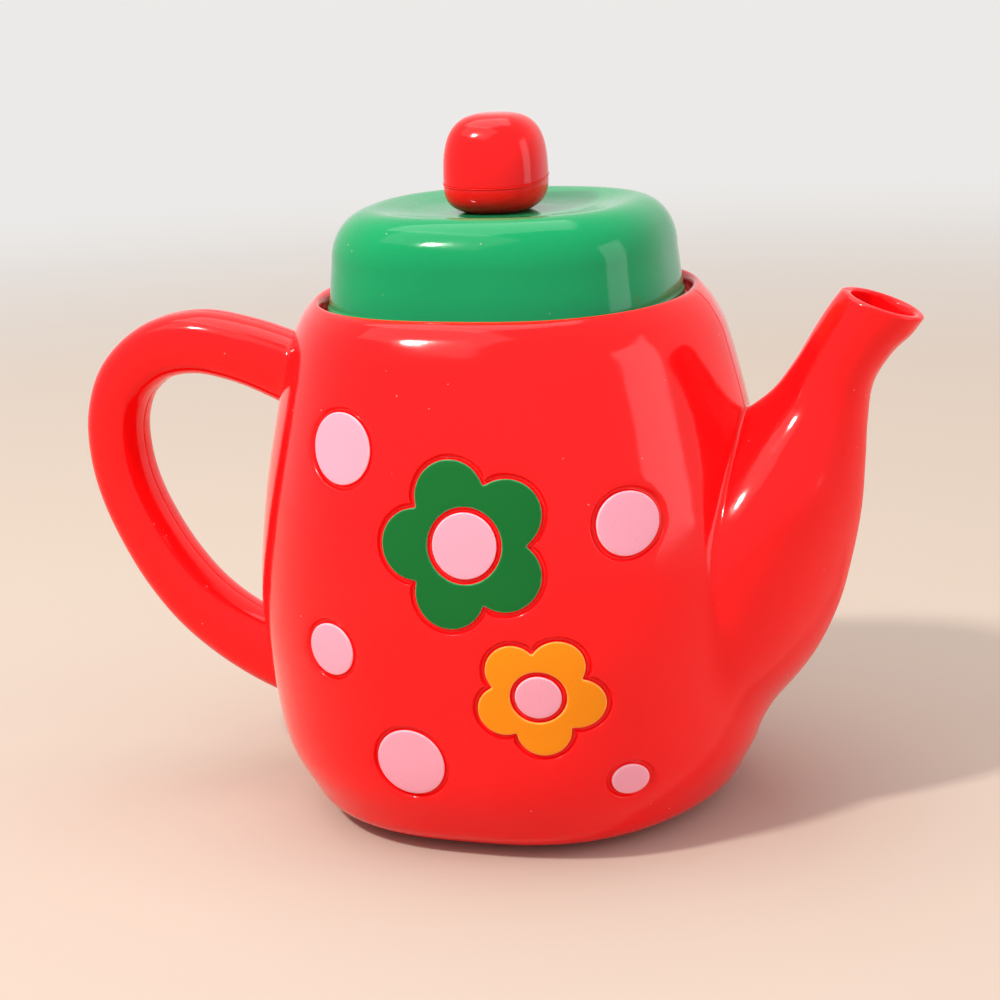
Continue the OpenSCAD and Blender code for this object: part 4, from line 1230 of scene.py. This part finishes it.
class TEAPOT_OT_stage(bpy.types.Operator):
    """Set up the floor, the lamps, the background and the camera"""
    bl_idname = "teapot.stage"
    bl_label = "Stage"

    def execute(self, context):
        scene, colours = context.scene, context.scene.teapot.colours
        mesh = bpy.data.meshes.new("stage_floor")
        corners = [(-3, -3, 0), (3, -3, 0), (3, 3, 0), (-3, 3, 0)]
        mesh.from_pydata(corners, [], [(0, 1, 2, 3)])
        mesh.materials.append(material_for("matt_seamless_paper", stage_floor,
                                           to_hex(colours.floor), to_hex(colours.background)))
        add_piece("stage_floor", mesh)

        world = bpy.data.worlds.new("pale_room")
        scene.world = world
        add = start_nodes(world)
        # The room is brightest above, to the right and in front, as beside a big window
        toward = add("ShaderNodeTexCoord").outputs["Generated"]
        along = add("ShaderNodeVectorMath", {0: toward, 1: (0.5, -0.35, 0.79)},
                    operation="DOT_PRODUCT")
        level = add("ShaderNodeMapRange", {"Value": along, "From Min": -0.3, "From Max": 0.8,
                                           "To Min": 0.5, "To Max": 0.95},
                    interpolation_type="SMOOTHSTEP")
        soft = add("ShaderNodeBackground", {"Color": linear("#F2F3F6"), "Strength": level})
        back = add("ShaderNodeBackground", {"Color": linear(to_hex(colours.background)),
                                            "Strength": 1.0})
        mixed = add("ShaderNodeMixShader", {0: sees_background(add), 1: soft, 2: back})
        add("ShaderNodeOutputWorld", {"Surface": mixed})

        for name, place, wide, high, power, colour in LAMPS:
            lamp = bpy.data.lights.new(name, "AREA")
            lamp.shape, lamp.size, lamp.size_y = "RECTANGLE", wide, high
            lamp.energy, lamp.color = power, linear(colour)[:3]
            holder = bpy.data.objects.new(name, lamp)
            scene.collection.objects.link(holder)
            holder.location = place
            holder.rotation_euler = (POT_MIDDLE - Vector(place)).to_track_quat("-Z", "Y").to_euler()

        camera = bpy.data.objects.new("camera", bpy.data.cameras.new("camera"))
        scene.collection.objects.link(camera)
        camera.matrix_world = camera_place()
        camera.data.lens, camera.data.sensor_width = CAMERA_LENS, CAMERA_SENSOR
        camera.data.clip_start = 0.01
        scene.camera = camera
        scene.view_settings.view_transform = "Standard"
        return {"FINISHED"}


def camera_place():
    """Camera at the photograph's viewing angle, with its slight roll."""
    turn, lift, roll = radians(CAMERA_TURN), radians(CAMERA_LIFT), radians(CAMERA_ROLL)
    away = Vector((sin(turn) * cos(lift), -cos(turn) * cos(lift), sin(lift)))
    place = POT_MIDDLE + CAMERA_RANGE * away
    target = POT_MIDDLE + Vector((AIM_ASIDE * cos(turn), AIM_ASIDE * sin(turn), AIM_UP))
    ahead = (target - place).normalized()
    right = ahead.cross(Vector((0, 0, 1))).normalized()
    up = right.cross(ahead)
    right, up = cos(roll) * right + sin(roll) * up, -sin(roll) * right + cos(roll) * up
    return Matrix.Translation(place) @ Matrix((right, up, -ahead)).transposed().to_4x4()


def cad_objects(node):
    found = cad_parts[node]
    return found if isinstance(found, (list, tuple)) else [found]


class TEAPOT_PT_pieces(bpy.types.Panel):
    bl_idname = "TEAPOT_PT_pieces"
    bl_label = "Teapot Pieces"
    bl_space_type = "VIEW_3D"
    bl_region_type = "UI"
    bl_category = "Teapot"

    def draw(self, context):
        settings = context.scene.teapot
        for group in ("pot", "handle", "spout", "lid", "knob", "decoration", "colours"):
            box = self.layout.box()
            box.label(text=group.title())
            values = getattr(settings, group)
            for key in values.__annotations__:
                box.prop(values, key)
        for operator in OPERATORS:
            self.layout.operator(operator.bl_idname)


GROUPS = (TeapotPotSizes, TeapotHandleSizes, TeapotSpoutSizes, TeapotLidSizes, TeapotKnobSizes,
          TeapotDecorationSizes, TeapotColours, TeapotSettings)
OPERATORS = (TEAPOT_OT_stage, TEAPOT_OT_shells, TEAPOT_OT_decoration, TEAPOT_OT_lid, TEAPOT_OT_knob,
             TEAPOT_OT_fasteners)


def register():
    for cls in GROUPS + OPERATORS + (TEAPOT_PT_pieces,):
        bpy.utils.register_class(cls)
    bpy.types.Scene.teapot = bpy.props.PointerProperty(type=TeapotSettings)


def unregister():
    del bpy.types.Scene.teapot
    for cls in reversed(GROUPS + OPERATORS + (TEAPOT_PT_pieces,)):
        bpy.utils.unregister_class(cls)


def main():
    register()
    bpy.ops.teapot.stage()
    bpy.ops.teapot.shells()
    bpy.ops.teapot.decoration()
    bpy.ops.teapot.lid()
    bpy.ops.teapot.knob()
    bpy.ops.teapot.fasteners()
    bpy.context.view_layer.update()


if __name__ == "__main__":
    main()
